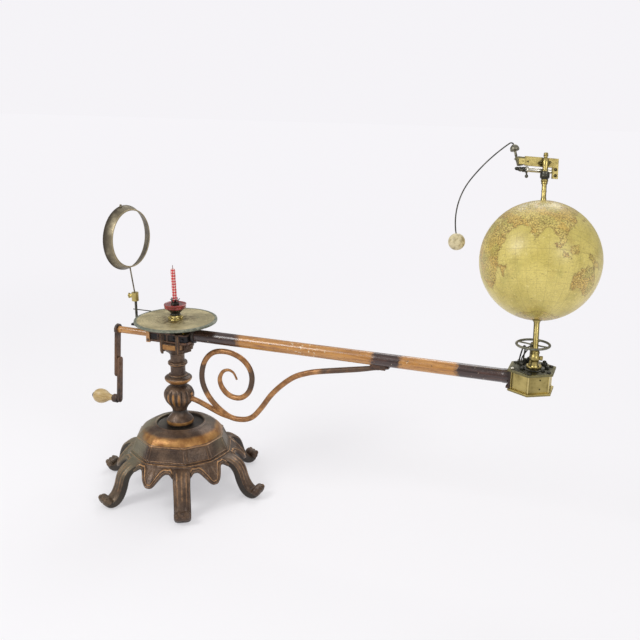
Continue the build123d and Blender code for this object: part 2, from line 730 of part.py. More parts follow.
def clamp_block():
    """The brass block that slides on the post."""
    body = Pos(POST_X - 0.6, 0, 301.5) * Cylinder(5.4, 13.5, align=LOW)
    body += rod_x(3.2, POST_X - 9, POST_X - 4, z=309)
    body -= Pos(POST_X, 0, 0) * rod(2.0 + RUNNING_FIT, 290, POST_TOP + 0.2)
    return body - rod_x(1.6 + RUNNING_FIT, POST_X - 12, POST_X - 1, z=309) - reflector_rod_shape()


def clamp_screw():
    """The thumbscrew at the side of the clamp block."""
    shank = rod_x(1.6, POST_X - 10, POST_X - 2.3, z=309)
    head = Pos(POST_X - 11.2, 0, 309) * Box(2.4, 2, 8) + rod_x(2.6, POST_X - 12.4, POST_X - 10, z=309)
    return shank + head


def rod_foot():
    """Where the reflector's rod starts in the clamp block."""
    return Vector(POST_X - 0.8, 0, POST_TOP + 0.6)


def ring_foot():
    """Where the rod meets the bottom of the ring."""
    middle = (RING_BACK_RADIUS + RING_FRONT_RADIUS) / 2
    return Vector(RING_CENTRE[0], 0, RING_CENTRE[2] - middle + RING_WALL / 2)


def reflector_rod_shape():
    """The thin leaning rod between clamp and ring."""
    return swept_rod(Wire([Line(rod_foot(), ring_foot()).edge()]), 1.1)


def reflector_ring():
    """The empty ring of the reflector, a tapered band with its wide rim at the back, on its rod, with a stud on top."""
    half = RING_DEPTH / 2
    back, front = RING_BACK_RADIUS, RING_FRONT_RADIUS
    outer = [(back, -half), (back, -half + 1.2), (front, half - 1.2), (front, half)]
    inner = [(radius - RING_WALL, height) for radius, height in reversed(outer)]
    band = turned(*outer, *inner)
    stud = Rot(0, 0, RING_STUD_TURN) * Pos(-back - 0.8, 0, -half + 2) * Rot(0, 90, 0) * Cylinder(2, 4.4)
    ring = Location(RING_CENTRE) * Rot(0, 0, RING_TURN) * Rot(0, 90, 0) * (band + stud)
    return ring + reflector_rod_shape()


def place(name, shape):
    """Writes one sub-part's solids to its own file."""
    solids = list(shape) if isinstance(shape, list) else [shape]
    flat = [solid for item in solids for solid in item.solids()]
    whole = flat[0] if len(flat) == 1 else Compound(children=flat)
    export_step(whole, os.path.join("parts", name + ".step"))


PIECES = (
    base_dome, base_skirt, spindle, spindle_nut, sun_gear, disc_hub, calendar_disc,
    candle_gallery, candle_cup, drip_pan, candle,
    column_ball, column_neck, capital, bearing_bushes,
    head_frame, centre_bearing, arm_tube, scroll_bracket, bracket_clip,
    crank_shaft, crank_pinion, crank_upper_bar, crank_lower_bar, crank_rivets, handle_pin, crank_handle,
    drive_shaft, arm_pinion, gearbox_pinion,
    gearbox_shell, gearbox_floor, gearbox_cover, cover_screws, detent_spring,
    carrier_arbor, carrier_gear, spindle_boss, wheel_post, hand_wheel, globe_spindle,
    globe_north, globe_south, globe_core,
    moon_collar, moon_post, moon_plate, moon_tube, moon_fasteners, end_block, moon_knob, moon_wire, moon_ball,
    reflector_arm, reflector_post, date_pointer, clamp_block, clamp_screw, reflector_ring,
)


def main():
    os.makedirs("parts", exist_ok=True)
    for build in PIECES:
        place(build.__name__, build())
    place("legs", around(leg_blank(), FOOT_COUNT))


main()
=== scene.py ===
"""A crank-driven tellurium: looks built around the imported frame, in the frame's own coordinates."""

import json
import math

import bpy
from mathutils import Matrix, Vector, noise


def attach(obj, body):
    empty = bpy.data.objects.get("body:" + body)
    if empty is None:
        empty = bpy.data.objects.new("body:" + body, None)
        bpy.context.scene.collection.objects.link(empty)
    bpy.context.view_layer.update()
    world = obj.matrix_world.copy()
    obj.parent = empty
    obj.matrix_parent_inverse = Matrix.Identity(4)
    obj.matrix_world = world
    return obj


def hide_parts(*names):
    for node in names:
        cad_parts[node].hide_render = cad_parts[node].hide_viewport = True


MM = 0.001
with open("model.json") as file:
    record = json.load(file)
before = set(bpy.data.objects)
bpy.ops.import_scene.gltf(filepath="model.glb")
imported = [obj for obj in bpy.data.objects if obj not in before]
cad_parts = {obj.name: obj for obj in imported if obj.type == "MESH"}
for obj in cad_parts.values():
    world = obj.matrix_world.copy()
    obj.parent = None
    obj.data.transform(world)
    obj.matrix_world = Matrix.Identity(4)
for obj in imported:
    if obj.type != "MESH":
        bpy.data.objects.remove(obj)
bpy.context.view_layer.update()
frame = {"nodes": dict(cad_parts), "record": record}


# ---------------------------------------------------------------- camera

def add_camera():
    """The camera at the chosen viewing angle."""
    yaw, pitch, roll = math.radians(111.3615), math.radians(16.536), math.radians(0.2826)
    ahead = Vector((math.cos(yaw) * math.cos(pitch), math.sin(yaw) * math.cos(pitch), -math.sin(pitch)))
    level = ahead.cross(Vector((0, 0, 1))).normalized()
    upright = level.cross(ahead)
    right = level * math.cos(roll) + upright * math.sin(roll)
    top = upright * math.cos(roll) - level * math.sin(roll)
    data = bpy.data.cameras.new("camera")
    data.sensor_width = 36
    data.lens = 47.73
    camera = bpy.data.objects.new("camera", data)
    bpy.context.scene.collection.objects.link(camera)
    turn = Matrix((right, top, -ahead)).transposed()
    camera.matrix_world = at(0.6665, -1.0912, 0.6528) @ turn.to_4x4()
    bpy.context.scene.camera = camera


# ---------------------------------------------------------------- mesh forms

class Form:
    """A mesh under construction in millimetres.

    Each point carries a look: wear_and_sheen, copper_and_sheen and dirt_and_shade, each 0 to 1. The first two
    hold real wear and copper bands and also painted highlights; the third holds real dirt and also painted
    shade in creases, recesses and undersides.
    """

    def __init__(self):
        self.points = []
        self.faces = []
        self.looks = []

    def add(self, points, faces, looks=None, place=None):
        start = len(self.points)
        place = place or Matrix()
        self.points += [place @ Vector(p) for p in points]
        self.faces += [tuple(start + i for i in face) for face in faces]
        self.looks += looks or [(0, 0, 0)] * len(points)
        return self


def rings_to_faces(count, steps, looped=False):
    """Quads between rings of points, and back to the first ring if looped."""
    faces = []
    for row in range(count if looped else count - 1):
        low, high = row * steps, (row + 1) % count * steps
        for i in range(steps):
            j = (i + 1) % steps
            faces.append((low + i, low + j, high + j, high + i))
    return faces


def smooth_line(knots, per=6):
    """A Catmull-Rom line through knots of any length."""
    out = []
    for i in range(len(knots) - 1):
        a, b, c, d = knots[max(i - 1, 0)], knots[i], knots[i + 1], knots[min(i + 2, len(knots) - 1)]
        for k in range(per):
            t = k / per
            out.append(tuple(
                0.5 * (2 * q + (r - p) * t + (2 * p - 5 * q + 4 * r - s) * t ** 2 + (3 * q - p - 3 * r + s)
                       * t ** 3)
                for p, q, r, s in zip(a, b, c, d)
            ))
    return out + [tuple(knots[-1])]


def lathe(form, profile, steps=64, looped=False, place=None, swell=None, look=()):
    """Turns (radius, height[, wear_and_sheen, copper_and_sheen, dirt_and_shade]) about Z.

    swell(angle, height) multiplies the radius; look serves knots without a look of their own.
    """
    points, looks = [], []
    for knot in profile:
        radius, height = max(knot[0], 0.01), knot[1]
        given = tuple(knot[2:]) or look
        clamped = tuple(min(max(v, 0), 1) for v in (given + (0, 0, 0))[:3])
        for i in range(steps):
            angle = math.tau * i / steps
            r = radius * (swell(angle, height) if swell else 1)
            points.append((r * math.cos(angle), r * math.sin(angle), height))
            looks.append(clamped)
    faces = rings_to_faces(len(profile), steps, looped)
    if not looped:
        faces.append(tuple(reversed(range(steps))))
        faces.append(tuple(range((len(profile) - 1) * steps, len(profile) * steps)))
    return form.add(points, faces, looks, place)


def sweep(form, path, section, steps=20, place=None, up=(0, 1, 0), looks=None):
    """Sweeps a section along a path. section(t, angle) gives (across, out) in millimetres."""
    path = [Vector(p) for p in path]
    points, all_looks = [], []
    side = Vector(up)
    for row, point in enumerate(path):
        ahead = (path[min(row + 1, len(path) - 1)] - path[max(row - 1, 0)]).normalized()
        side = (side - ahead * side.dot(ahead)).normalized()
        out = ahead.cross(side)
        t = row / (len(path) - 1)
        for i in range(steps):
            across, away = section(t, math.tau * i / steps)
            points.append(point + side * across + out * away)
            all_looks.append(looks(t, math.tau * i / steps) if looks else (0, 0, 0))
    faces = rings_to_faces(len(path), steps)
    faces.append(tuple(reversed(range(steps))))
    faces.append(tuple(range((len(path) - 1) * steps, len(path) * steps)))
    return form.add(points, faces, all_looks, place)


def tube(form, path, radius, steps=16, place=None):
    """A round rod along a path with slightly rounded ends. radius is a number or radius(t)."""
    size = radius if callable(radius) else (lambda t: radius)
    path = [Vector(p) for p in path]
    first = (path[0] - path[1]).normalized()
    last = (path[-1] - path[-2]).normalized()
    lips = [(0.21, 0.93), (0.45, 0.65)]
    before = [path[0] + first * reach for reach, _ in reversed(lips)]
    after = [path[-1] + last * reach for reach, _ in lips]
    whole = before + path + after
    scale = [s for _, s in reversed(lips)] + [1.0] * len(path) + [s for _, s in lips]

    def section(t, angle):
        row = round(t * (len(whole) - 1))
        r = size(min(max((row - 2) / (len(path) - 1), 0), 1)) * scale[row]
        return r * math.cos(angle), r * math.sin(angle)

    return sweep(form, whole, section, steps, place)


def block(form, low, high, place=None, look=(0, 0, 0)):
    """A box between two corners; bevels are added to the finished piece."""
    xs, ys, zs = zip(low, high)
    points = [(x, y, z) for x in xs for y in ys for z in zs]
    faces = [(0, 1, 3, 2), (4, 6, 7, 5), (0, 4, 5, 1), (2, 3, 7, 6), (0, 2, 6, 4), (1, 5, 7, 3)]
    return form.add(points, faces, [look] * 8, place)


def prism(form, outline, low, high, place=None, look=(0, 0, 0)):
    """An outline in XY pushed from low to high along Z."""
    count = len(outline)
    points = [(x, y, z) for z in (low, high) for x, y in outline]
    faces = [(i, (i + 1) % count, count + (i + 1) % count, count + i) for i in range(count)]
    faces += [tuple(reversed(range(count))), tuple(range(count, 2 * count))]
    return form.add(points, faces, [look] * (2 * count), place)


def ball(form, centre, size, steps=24, place=None, look=(0, 0, 0)):
    """An ellipsoid with half sizes."""
    rows = steps // 2
    profile = [(math.sin(math.pi * i / rows), -math.cos(math.pi * i / rows), *look) for i in range(rows + 1)]
    shape = Matrix.Translation(centre) @ Matrix.Diagonal((*size, 1))
    return lathe(form, profile, steps, place=(place or Matrix()) @ shape)


def slotted_screw(form, radius, height, place, hex_head=False):
    """A low domed screw head with a slot."""
    profile = [(radius, 0), (radius, height * 0.5), (radius * 0.8, height * 0.85), (0, height)]
    lathe(form, profile, 6 if hex_head else 20, place=place)
    if not hex_head:
        block(form, (-radius * 0.85, -radius * 0.1, height * 0.8),
              (radius * 0.85, radius * 0.1, height * 1.03),
              place, (0, 0, 1))


def finish_mesh(obj, bevel, sharp):
    """Smooths the faces, keeps hard edges, and rounds them by a bevel in millimetres."""
    mesh = obj.data
    mesh.polygons.foreach_set("use_smooth", [True] * len(mesh.polygons))
    mesh.set_sharp_from_angle(angle=math.radians(sharp))
    if bevel:
        mod = obj.modifiers.new("edges", "BEVEL")
        mod.width = bevel * MM
        mod.segments = 2
        mod.limit_method = "ANGLE"
        mod.angle_limit = math.radians(40)


def make(name, form, look, body, nodes=(), slot=None, bevel=0.0, sharp=35):
    """Turns a form into a piece that rides on a body and stands for the named nodes.

    look is a key of MAT; slot is not used.
    """
    slot = slot or look
    mesh = bpy.data.meshes.new(name)
    mesh.from_pydata([p * MM for p in form.points], [], form.faces)
    layer = mesh.color_attributes.new("look", "FLOAT_COLOR", "POINT")
    layer.data.foreach_set("color", [v for paint in form.looks for v in (*paint, 1.0)])
    mesh.materials.append(MAT[look])
    obj = bpy.data.objects.new(name, mesh)
    bpy.context.scene.collection.objects.link(obj)
    finish_mesh(obj, bevel, sharp)
    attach(obj, body)
    if nodes:
        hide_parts(*nodes)
    return obj


def along_x(x, y=0.0, z=0.0, flip=False):
    """Turns a form drawn about Z so that its axis lies along X (or -X)."""
    return at(x, y, z) @ turned(-90 if flip else 90, "Y")


def at(x, y, z):
    """A move in millimetres."""
    return Matrix.Translation((x, y, z))


def turned(degrees, axis="Z"):
    """A turn about an axis through the origin."""
    return Matrix.Rotation(math.radians(degrees), 4, axis)


def polar(radius, degrees):
    """A point of XY by its distance and angle."""
    angle = math.radians(degrees)
    return radius * math.cos(angle), radius * math.sin(angle)


# Sets an outline drawn in XY upright in XZ; what was pushed along Z then runs along Y.
UPRIGHT = Matrix(((1, 0, 0, 0), (0, 0, 1, 0), (0, 1, 0, 0), (0, 0, 0, 1)))

# Heights and axes that several pieces share, in millimetres, and the bearing of the light, in degrees.
ARM_HEIGHT = 257
CRANK_HEIGHT = 250.7
GEARBOX_X = 542
COVER_TOP = 273
FLANGE_AXIS = at(544.3, -0.5, 0)
WHEEL_AXIS = at(540.5, 4.5, 0)
LIGHT_TURN = 281


# ---------------------------------------------------------------- materials

def srgb(r, g, b):
    """Linear colour from 0-255 display values."""
    def line(v):
        v /= 255
        return v / 12.92 if v <= 0.04045 else ((v + 0.055) / 1.055) ** 2.4
    return (line(r), line(g), line(b), 1.0)


class Paint:
    """A node material under construction."""

    def __init__(self, name, metallic=0.0, roughness=0.5, **sockets):
        self.material = bpy.data.materials.new(name)
        self.material.use_nodes = True
        self.tree = self.material.node_tree
        self.tree.nodes.clear()
        self.out = self.tree.nodes.new("ShaderNodeOutputMaterial")
        self.bsdf = self.tree.nodes.new("ShaderNodeBsdfPrincipled")
        self.tree.links.new(self.bsdf.outputs[0], self.out.inputs[0])
        self.bsdf.inputs["Metallic"].default_value = metallic
        self.bsdf.inputs["Roughness"].default_value = roughness
        for key, value in sockets.items():
            self.bsdf.inputs[key.replace("_", " ")].default_value = value
        self.coords = self.tree.nodes.new("ShaderNodeTexCoord").outputs["Object"]

    def node(self, kind, settings=None, **inputs):
        """A node with its settings and its inputs, by name or as i0, i1 and so on."""
        made = self.tree.nodes.new(kind)
        for key, value in (settings or {}).items():
            setattr(made, key, value)
        for key, value in inputs.items():
            numbered = key[0] == "i" and key[1:].isdigit()
            self.put(made.inputs[int(key[1:]) if numbered else key], value)
        return made

    def put(self, socket, value):
        if isinstance(value, bpy.types.NodeSocket):
            self.tree.links.new(value, socket)
        else:
            socket.default_value = value

    def math(self, operation, a, b=0.0):
        return self.node("ShaderNodeMath", {"operation": operation}, i0=a, i1=b).outputs[0]

    def times(self, a, b):
        return self.math("MULTIPLY", a, b)

    def plus(self, a, b):
        return self.math("ADD", a, b)

    def minus(self, a, b):
        return self.math("SUBTRACT", a, b)

    def most(self, a, b):
        return self.math("MAXIMUM", a, b)

    def arctan(self, a, b):
        return self.math("ARCTAN2", a, b)

    def size(self, a):
        return self.math("ABSOLUTE", a)

    def root(self, a):
        return self.math("SQRT", a)

    def sine(self, a):
        return self.math("SINE", a)

    def cosine(self, a):
        return self.math("COSINE", a)

    def arcsine(self, a):
        return self.math("ARCSINE", a)

    def fract(self, a):
        return self.math("FRACT", a)

    def flip(self, value):
        return self.minus(1.0, value)

    def stretch(self, scale, coords=None):
        """The coordinates scaled per axis."""
        made = self.node("ShaderNodeMapping", Vector=coords or self.coords, Scale=scale)
        return made.outputs[0]

    def noise(self, scale, detail=4.0, rough=0.55, coords=None, distort=0.0):
        made = self.node("ShaderNodeTexNoise", Vector=coords or self.coords, Scale=scale, Detail=detail,
                         Roughness=rough, Distortion=distort)
        return made.outputs[0]

    def ramp(self, value, low, high, start=0.0, end=1.0):
        """Maps low..high to start..end, clamped and smooth."""
        made = self.node("ShaderNodeMapRange", {"interpolation_type": "SMOOTHSTEP"}, Value=value)
        for key, number in (("From Min", low), ("From Max", high), ("To Min", start), ("To Max", end)):
            made.inputs[key].default_value = number
        return made.outputs[0]

    def mix(self, amount, a, b):
        """Blends two colours: sockets, linear colours with alpha, or display colours (r, g, b) up to 255."""
        made = self.node("ShaderNodeMix", {"data_type": "RGBA"})
        self.put(made.inputs[0], amount)
        for number, color in ((6, a), (7, b)):
            display = isinstance(color, tuple) and len(color) == 3
            self.put(made.inputs[number], srgb(*color) if display else color)
        return made.outputs[2]

    def look(self):
        """The wear and painted sheen, copper and painted sheen, and dirt and painted shade on the points."""
        made = self.node("ShaderNodeAttribute", {"attribute_name": "look"})
        return self.node("ShaderNodeSeparateColor", i0=made.outputs["Color"]).outputs

    def xyz(self, coords=None):
        return self.node("ShaderNodeSeparateXYZ", i0=coords or self.coords).outputs

    def bump(self, height, depth, before=None):
        """Adds a bump; depth is in millimetres."""
        made = self.node("ShaderNodeBump", Strength=1.0, Distance=depth * MM, Height=height)
        if before:
            self.put(made.inputs["Normal"], before)
        return made.outputs[0]

    def finish(self, color, roughness=None, normal=None, metallic=None):
        self.put(self.bsdf.inputs["Base Color"], color)
        for key, value in (("Roughness", roughness), ("Normal", normal), ("Metallic", metallic)):
            if value is not None:
                self.put(self.bsdf.inputs[key], value)
        return self.material


def bronzed_iron():
    """Cast iron with a dark bronze finish, rubbed to copper on what stands out and green-grey in the lee; the
    look adds painted copper highlights and painted near-black shade.
    """
    p = Paint("bronzed_iron", Specular_IOR_Level=0.5)
    wear_and_sheen, copper_and_sheen, dirt_and_shade = p.look()[:3]
    broad, fine = p.noise(38, 5, 0.6), p.noise(420, 5, 0.65)
    color = p.mix(p.ramp(broad, 0.35, 0.68), (70, 52, 40), (116, 92, 72))
    color = p.mix(p.ramp(fine, 0.42, 0.75, 0, 0.6), color, (52, 36, 31))
    color = p.mix(p.ramp(p.noise(900, 3, 0.6), 0.6, 0.72, 0, 0.45), color, (164, 136, 106))
    x, y, z = p.xyz()[:3]
    cloud = p.times(p.noise(30, 3, 0.6), 1.6)
    lee = p.plus(p.times(x, -12.0), p.times(y, -2.0))
    patina = p.times(p.ramp(p.plus(lee, cloud), 1.0, 1.6), p.ramp(z, 0.03, 0.08, 0.2, 1.0))
    rear = p.plus(p.times(x, 8.0), p.times(y, 7.0))
    behind = p.times(p.ramp(p.plus(rear, cloud), 1.0, 1.8), p.ramp(z, 0.05, 0.09, 0.0, 0.6))
    patina = p.times(p.most(patina, behind), p.ramp(z, 0.112, 0.125, 1.0, 0.1))
    color = p.mix(p.times(patina, 0.8), color, p.mix(fine, (112, 108, 84), (146, 140, 118)))
    # wear_and_sheen rubs to copper: real wear on beads, ridges and edges, and a painted highlight on the
    # gadroon crests and the capital's faces towards the light.
    worn = p.plus(wear_and_sheen, p.times(p.minus(p.noise(150, 4, 0.7), 0.5), 0.8))
    worn = p.times(p.ramp(worn, 0.25, 0.9), p.ramp(wear_and_sheen, 0.02, 0.25))
    worn = p.times(worn, p.flip(p.times(patina, 0.5)))
    color = p.mix(worn, color, (198, 150, 102))
    # copper_and_sheen gives the copper bands, and a painted highlight on the gadroon crests and the capital's
    # faces towards the light.
    copper_and_sheen_mix = p.plus(copper_and_sheen, p.times(p.minus(p.noise(60, 4, 0.65), 0.5), 0.5))
    copper_and_sheen_mix = p.times(p.ramp(copper_and_sheen_mix, 0.25, 0.85), p.ramp(copper_and_sheen, 0.05, 0.4))
    copper_and_sheen_mix = p.times(copper_and_sheen_mix, p.flip(p.times(patina, 0.85)))
    color = p.mix(copper_and_sheen_mix, color, p.mix(p.ramp(p.noise(90, 4), 0.35, 0.7), (144, 98, 52), (184, 136, 78)))
    # dirt_and_shade goes near-black: some real dirt, and painted shade in the recess, creases, grooves and
    # undersides and on the sides of the legs.
    grime_and_shade = p.times(p.ramp(dirt_and_shade, 0.1, 0.9), 0.8)
    color = p.mix(grime_and_shade, color, (38, 37, 34))
    bright = p.most(worn, copper_and_sheen_mix)
    rough = p.plus(p.ramp(bright, 0, 1, 0.36, 0.34), p.times(fine, 0.12))
    metal = p.ramp(bright, 0, 1, 0.3, 0.5)
    normal = p.bump(p.noise(520, 4, 0.7), 0.22)
    normal = p.bump(broad, 0.5, normal)
    return p.finish(color, rough, normal, metal)


def black_iron():
    """Blackened iron with rubbed brown edges."""
    p = Paint("black_iron", 0.55)
    wear_and_sheen, _, dirt_and_shade = p.look()[:3]
    broad, fine = p.noise(70, 5, 0.6), p.noise(600, 4, 0.7)
    color = p.mix(p.ramp(broad, 0.38, 0.7), (34, 34, 40), (74, 66, 60))
    color = p.mix(p.ramp(fine, 0.55, 0.8, 0, 0.4), color, (96, 72, 56))
    worn = p.times(wear_and_sheen, p.ramp(p.noise(200, 4, 0.7), 0.3, 0.6))
    color = p.mix(worn, color, (150, 108, 78))
    # dirt_and_shade here is painted shade in the head frame's recessed band and inside it.
    color = p.mix(p.times(dirt_and_shade, 0.8), color, (18, 17, 17))
    rough = p.ramp(broad, 0.3, 0.75, 0.36, 0.62)
    return p.finish(color, rough, p.bump(fine, 0.12))


def arm_paint():
    """Old varnish on the arm: ochre graining between dark brown bands, crazed and chipped."""
    p = Paint("arm_paint", 0.0, Coat_Weight=0.6, Coat_Roughness=0.16)
    x = p.xyz()[0]
    wander = p.times(p.minus(p.noise(95, 5, 0.7), 0.5), 0.026)
    place = p.plus(x, wander)
    dark = p.ramp(place, 0.103, 0.117, 1, 0)
    for start, end in ((0.321, 0.364), (0.442, 0.60)):
        ending = p.ramp(place, end - 0.005, end + 0.004, 1, 0)
        band = p.times(p.ramp(place, start - 0.004, start + 0.005), ending)
        dark = p.most(dark, band)
    shaft = p.ramp(x, -0.046, -0.04, 1, 0)
    dark = p.times(dark, p.flip(shaft))
    grain = p.noise(1.0, 5, 0.65, p.stretch((26, 330, 330)), 0.4)
    ochre = p.mix(p.ramp(grain, 0.36, 0.7), (196, 140, 72), (146, 94, 46))
    cloud = p.noise(42, 4, 0.6)
    ochre = p.mix(p.ramp(cloud, 0.5, 0.75, 0, 0.6), ochre, (206, 152, 84))
    brown = p.mix(p.ramp(grain, 0.4, 0.7), (44, 27, 24), (84, 54, 44))
    color = p.mix(dark, ochre, brown)
    flecks = p.noise(1.0, 3, 0.5, p.stretch((150, 420, 420)))
    color = p.mix(p.ramp(flecks, 0.655, 0.69, 0, 0.8), color, (66, 44, 32))
    near = p.times(p.ramp(x, 0.185, 0.195), p.ramp(x, 0.235, 0.245, 1, 0))
    chips = p.times(near, p.ramp(p.noise(260, 3, 0.6), 0.6, 0.63))
    pale = p.ramp(p.noise(210, 3, 0.55), 0.695, 0.715)
    color = p.mix(p.most(p.times(chips, 0.8), p.times(pale, 0.7)), color, (222, 206, 176))
    normal = p.bump(grain, 0.12)
    normal = p.bump(p.noise(340, 3, 0.6), 0.16, normal)
    normal = p.bump(p.times(dark, p.noise(230, 4, 0.65)), 0.5, normal)
    return p.finish(color, p.ramp(cloud, 0.3, 0.7, 0.24, 0.4), normal)


def scroll_paint():
    """Copper bronzing on forged rod, worn through to dark iron in stretches of the spiral."""
    p = Paint("scroll_bronze", 0.35)
    x, _, z = p.xyz()[:3]
    wander = p.times(p.minus(p.noise(60, 4, 0.6), 0.5), 0.03)
    height = p.plus(z, wander)
    left = p.times(p.ramp(x, 0.052, 0.060, 1, 0), p.ramp(height, 0.160, 0.172))
    left = p.times(left, p.ramp(height, 0.204, 0.216, 1, 0))
    right = p.times(p.ramp(x, 0.117, 0.122), p.ramp(height, 0.172, 0.184))
    right = p.times(right, p.ramp(height, 0.208, 0.22, 1, 0))
    right = p.times(right, p.ramp(x, 0.136, 0.142, 1, 0))
    reach = p.times(p.ramp(p.plus(x, wander), 0.236, 0.25), p.ramp(p.noise(40, 4, 0.6), 0.36, 0.5, 0.5, 1.0))
    dark = p.most(p.most(left, right), reach)
    color = p.mix(p.ramp(p.noise(120, 4, 0.6), 0.35, 0.7), (138, 94, 54), (188, 136, 84))
    color = p.mix(p.times(dark, 0.85), color, (70, 60, 54))
    color = p.mix(p.ramp(p.noise(17, 3, 0.5), 0.6, 0.7, 0, 0.5), color, (96, 70, 52))
    color = p.mix(p.ramp(p.noise(650, 3, 0.7), 0.6, 0.72, 0, 0.5), color, (78, 52, 38))
    return p.finish(color, p.ramp(dark, 0, 1, 0.38, 0.5), p.bump(p.noise(520, 4, 0.65), 0.14))


def rusty_iron():
    """Hand-worn iron of the crank: dark with brown rust in the middle."""
    p = Paint("rusty_iron", 0.4)
    wear_and_sheen, _, dirt_and_shade = p.look()[:3]
    color = p.mix(p.ramp(p.noise(60, 5, 0.65), 0.36, 0.68), (52, 46, 45), (108, 84, 68))
    z = p.xyz()[2]
    middle = p.times(p.ramp(z, 0.16, 0.185), p.ramp(z, 0.215, 0.245, 1, 0))
    color = p.mix(p.times(middle, 0.6), color, (126, 92, 68))
    color = p.mix(p.ramp(p.noise(520, 4, 0.75), 0.55, 0.75, 0, 0.7), color, (44, 36, 34))
    color = p.mix(p.times(wear_and_sheen, 0.6), color, (134, 124, 112))
    color = p.mix(p.times(dirt_and_shade, 0.8), color, (26, 24, 23))
    return p.finish(color, p.ramp(p.noise(130, 4), 0.3, 0.7, 0.4, 0.62), p.bump(p.noise(430, 5, 0.7), 0.25))


def pale_wood():
    """Turned boxwood, darkened by hands, with grain along the handle."""
    p = Paint("handle_wood", 0.0, Coat_Weight=0.3, Coat_Roughness=0.3)
    grain = p.noise(1.0, 6, 0.6, p.stretch((60, 420, 420)), 0.6)
    rings = p.noise(1.0, 2, 0.5, p.stretch((14, 130, 130)), 1.2)
    color = p.mix(p.ramp(grain, 0.3, 0.7), (196, 168, 112), (160, 130, 80))
    color = p.mix(p.ramp(rings, 0.45, 0.62, 0, 0.5), color, (216, 192, 140))
    color = p.mix(p.ramp(p.noise(90, 4, 0.6), 0.58, 0.75, 0, 0.7), color, (118, 96, 60))
    return p.finish(color, p.ramp(grain, 0.3, 0.7, 0.36, 0.5), p.bump(grain, 0.1))


def brass(name, base, stain, rough, spots=0.5):
    """Brass with fine polishing lines, tarnish stains and small dark spots."""
    p = Paint(name, 0.9)
    wear_and_sheen, _, dirt_and_shade = p.look()[:3]
    lines = p.noise(1.0, 3, 0.6, p.stretch((60, 60, 900)))
    cloud = p.noise(85, 5, 0.6)
    color = p.mix(p.ramp(cloud, 0.4, 0.75), base, stain)
    color = p.mix(p.ramp(lines, 0.45, 0.75, 0, 0.25), color, stain)
    color = p.mix(p.ramp(p.noise(420, 3, 0.6), 0.64, 0.72, 0, spots), color, (64, 50, 24))
    # dirt_and_shade here is a painted dark reflection down rod flanks, and painted shade under the gearbox
    # floor, toward the middle of its plates and in holes.
    color = p.mix(p.times(dirt_and_shade, 0.9), color, (34, 30, 22))
    # wear_and_sheen here is real wear, and a painted highlight down the gearbox's corner posts.
    color = p.mix(p.times(wear_and_sheen, 0.7), color, (232, 214, 150))
    roughness = p.plus(p.ramp(cloud, 0.3, 0.75, rough, rough + 0.16), p.times(lines, 0.08))
    return p.finish(color, roughness, p.bump(lines, 0.03))


def steel(name="dark_steel", base=(58, 58, 54), light=(104, 102, 92), rough=0.34, metallic=0.85):
    """Dark oiled steel with lighter handled patches."""
    p = Paint(name, metallic)
    wear_and_sheen, _, dirt_and_shade = p.look()[:3]
    color = p.mix(p.ramp(p.noise(140, 5, 0.6), 0.38, 0.7), base, light)
    color = p.mix(p.ramp(p.noise(700, 3, 0.7), 0.58, 0.75, 0, 0.5), color, (66, 50, 38))
    # wear_and_sheen here includes a painted highlight along the top of the handwheel's rim.
    color = p.mix(p.times(wear_and_sheen, 0.7), color, (176, 172, 156))
    # dirt_and_shade here includes painted shade under the moon knob's lip.
    color = p.mix(p.times(dirt_and_shade, 0.9), color, (20, 20, 19))
    return p.finish(color, p.ramp(p.noise(110, 4), 0.3, 0.7, rough, rough + 0.16),
                    p.bump(p.noise(600, 3), 0.04))


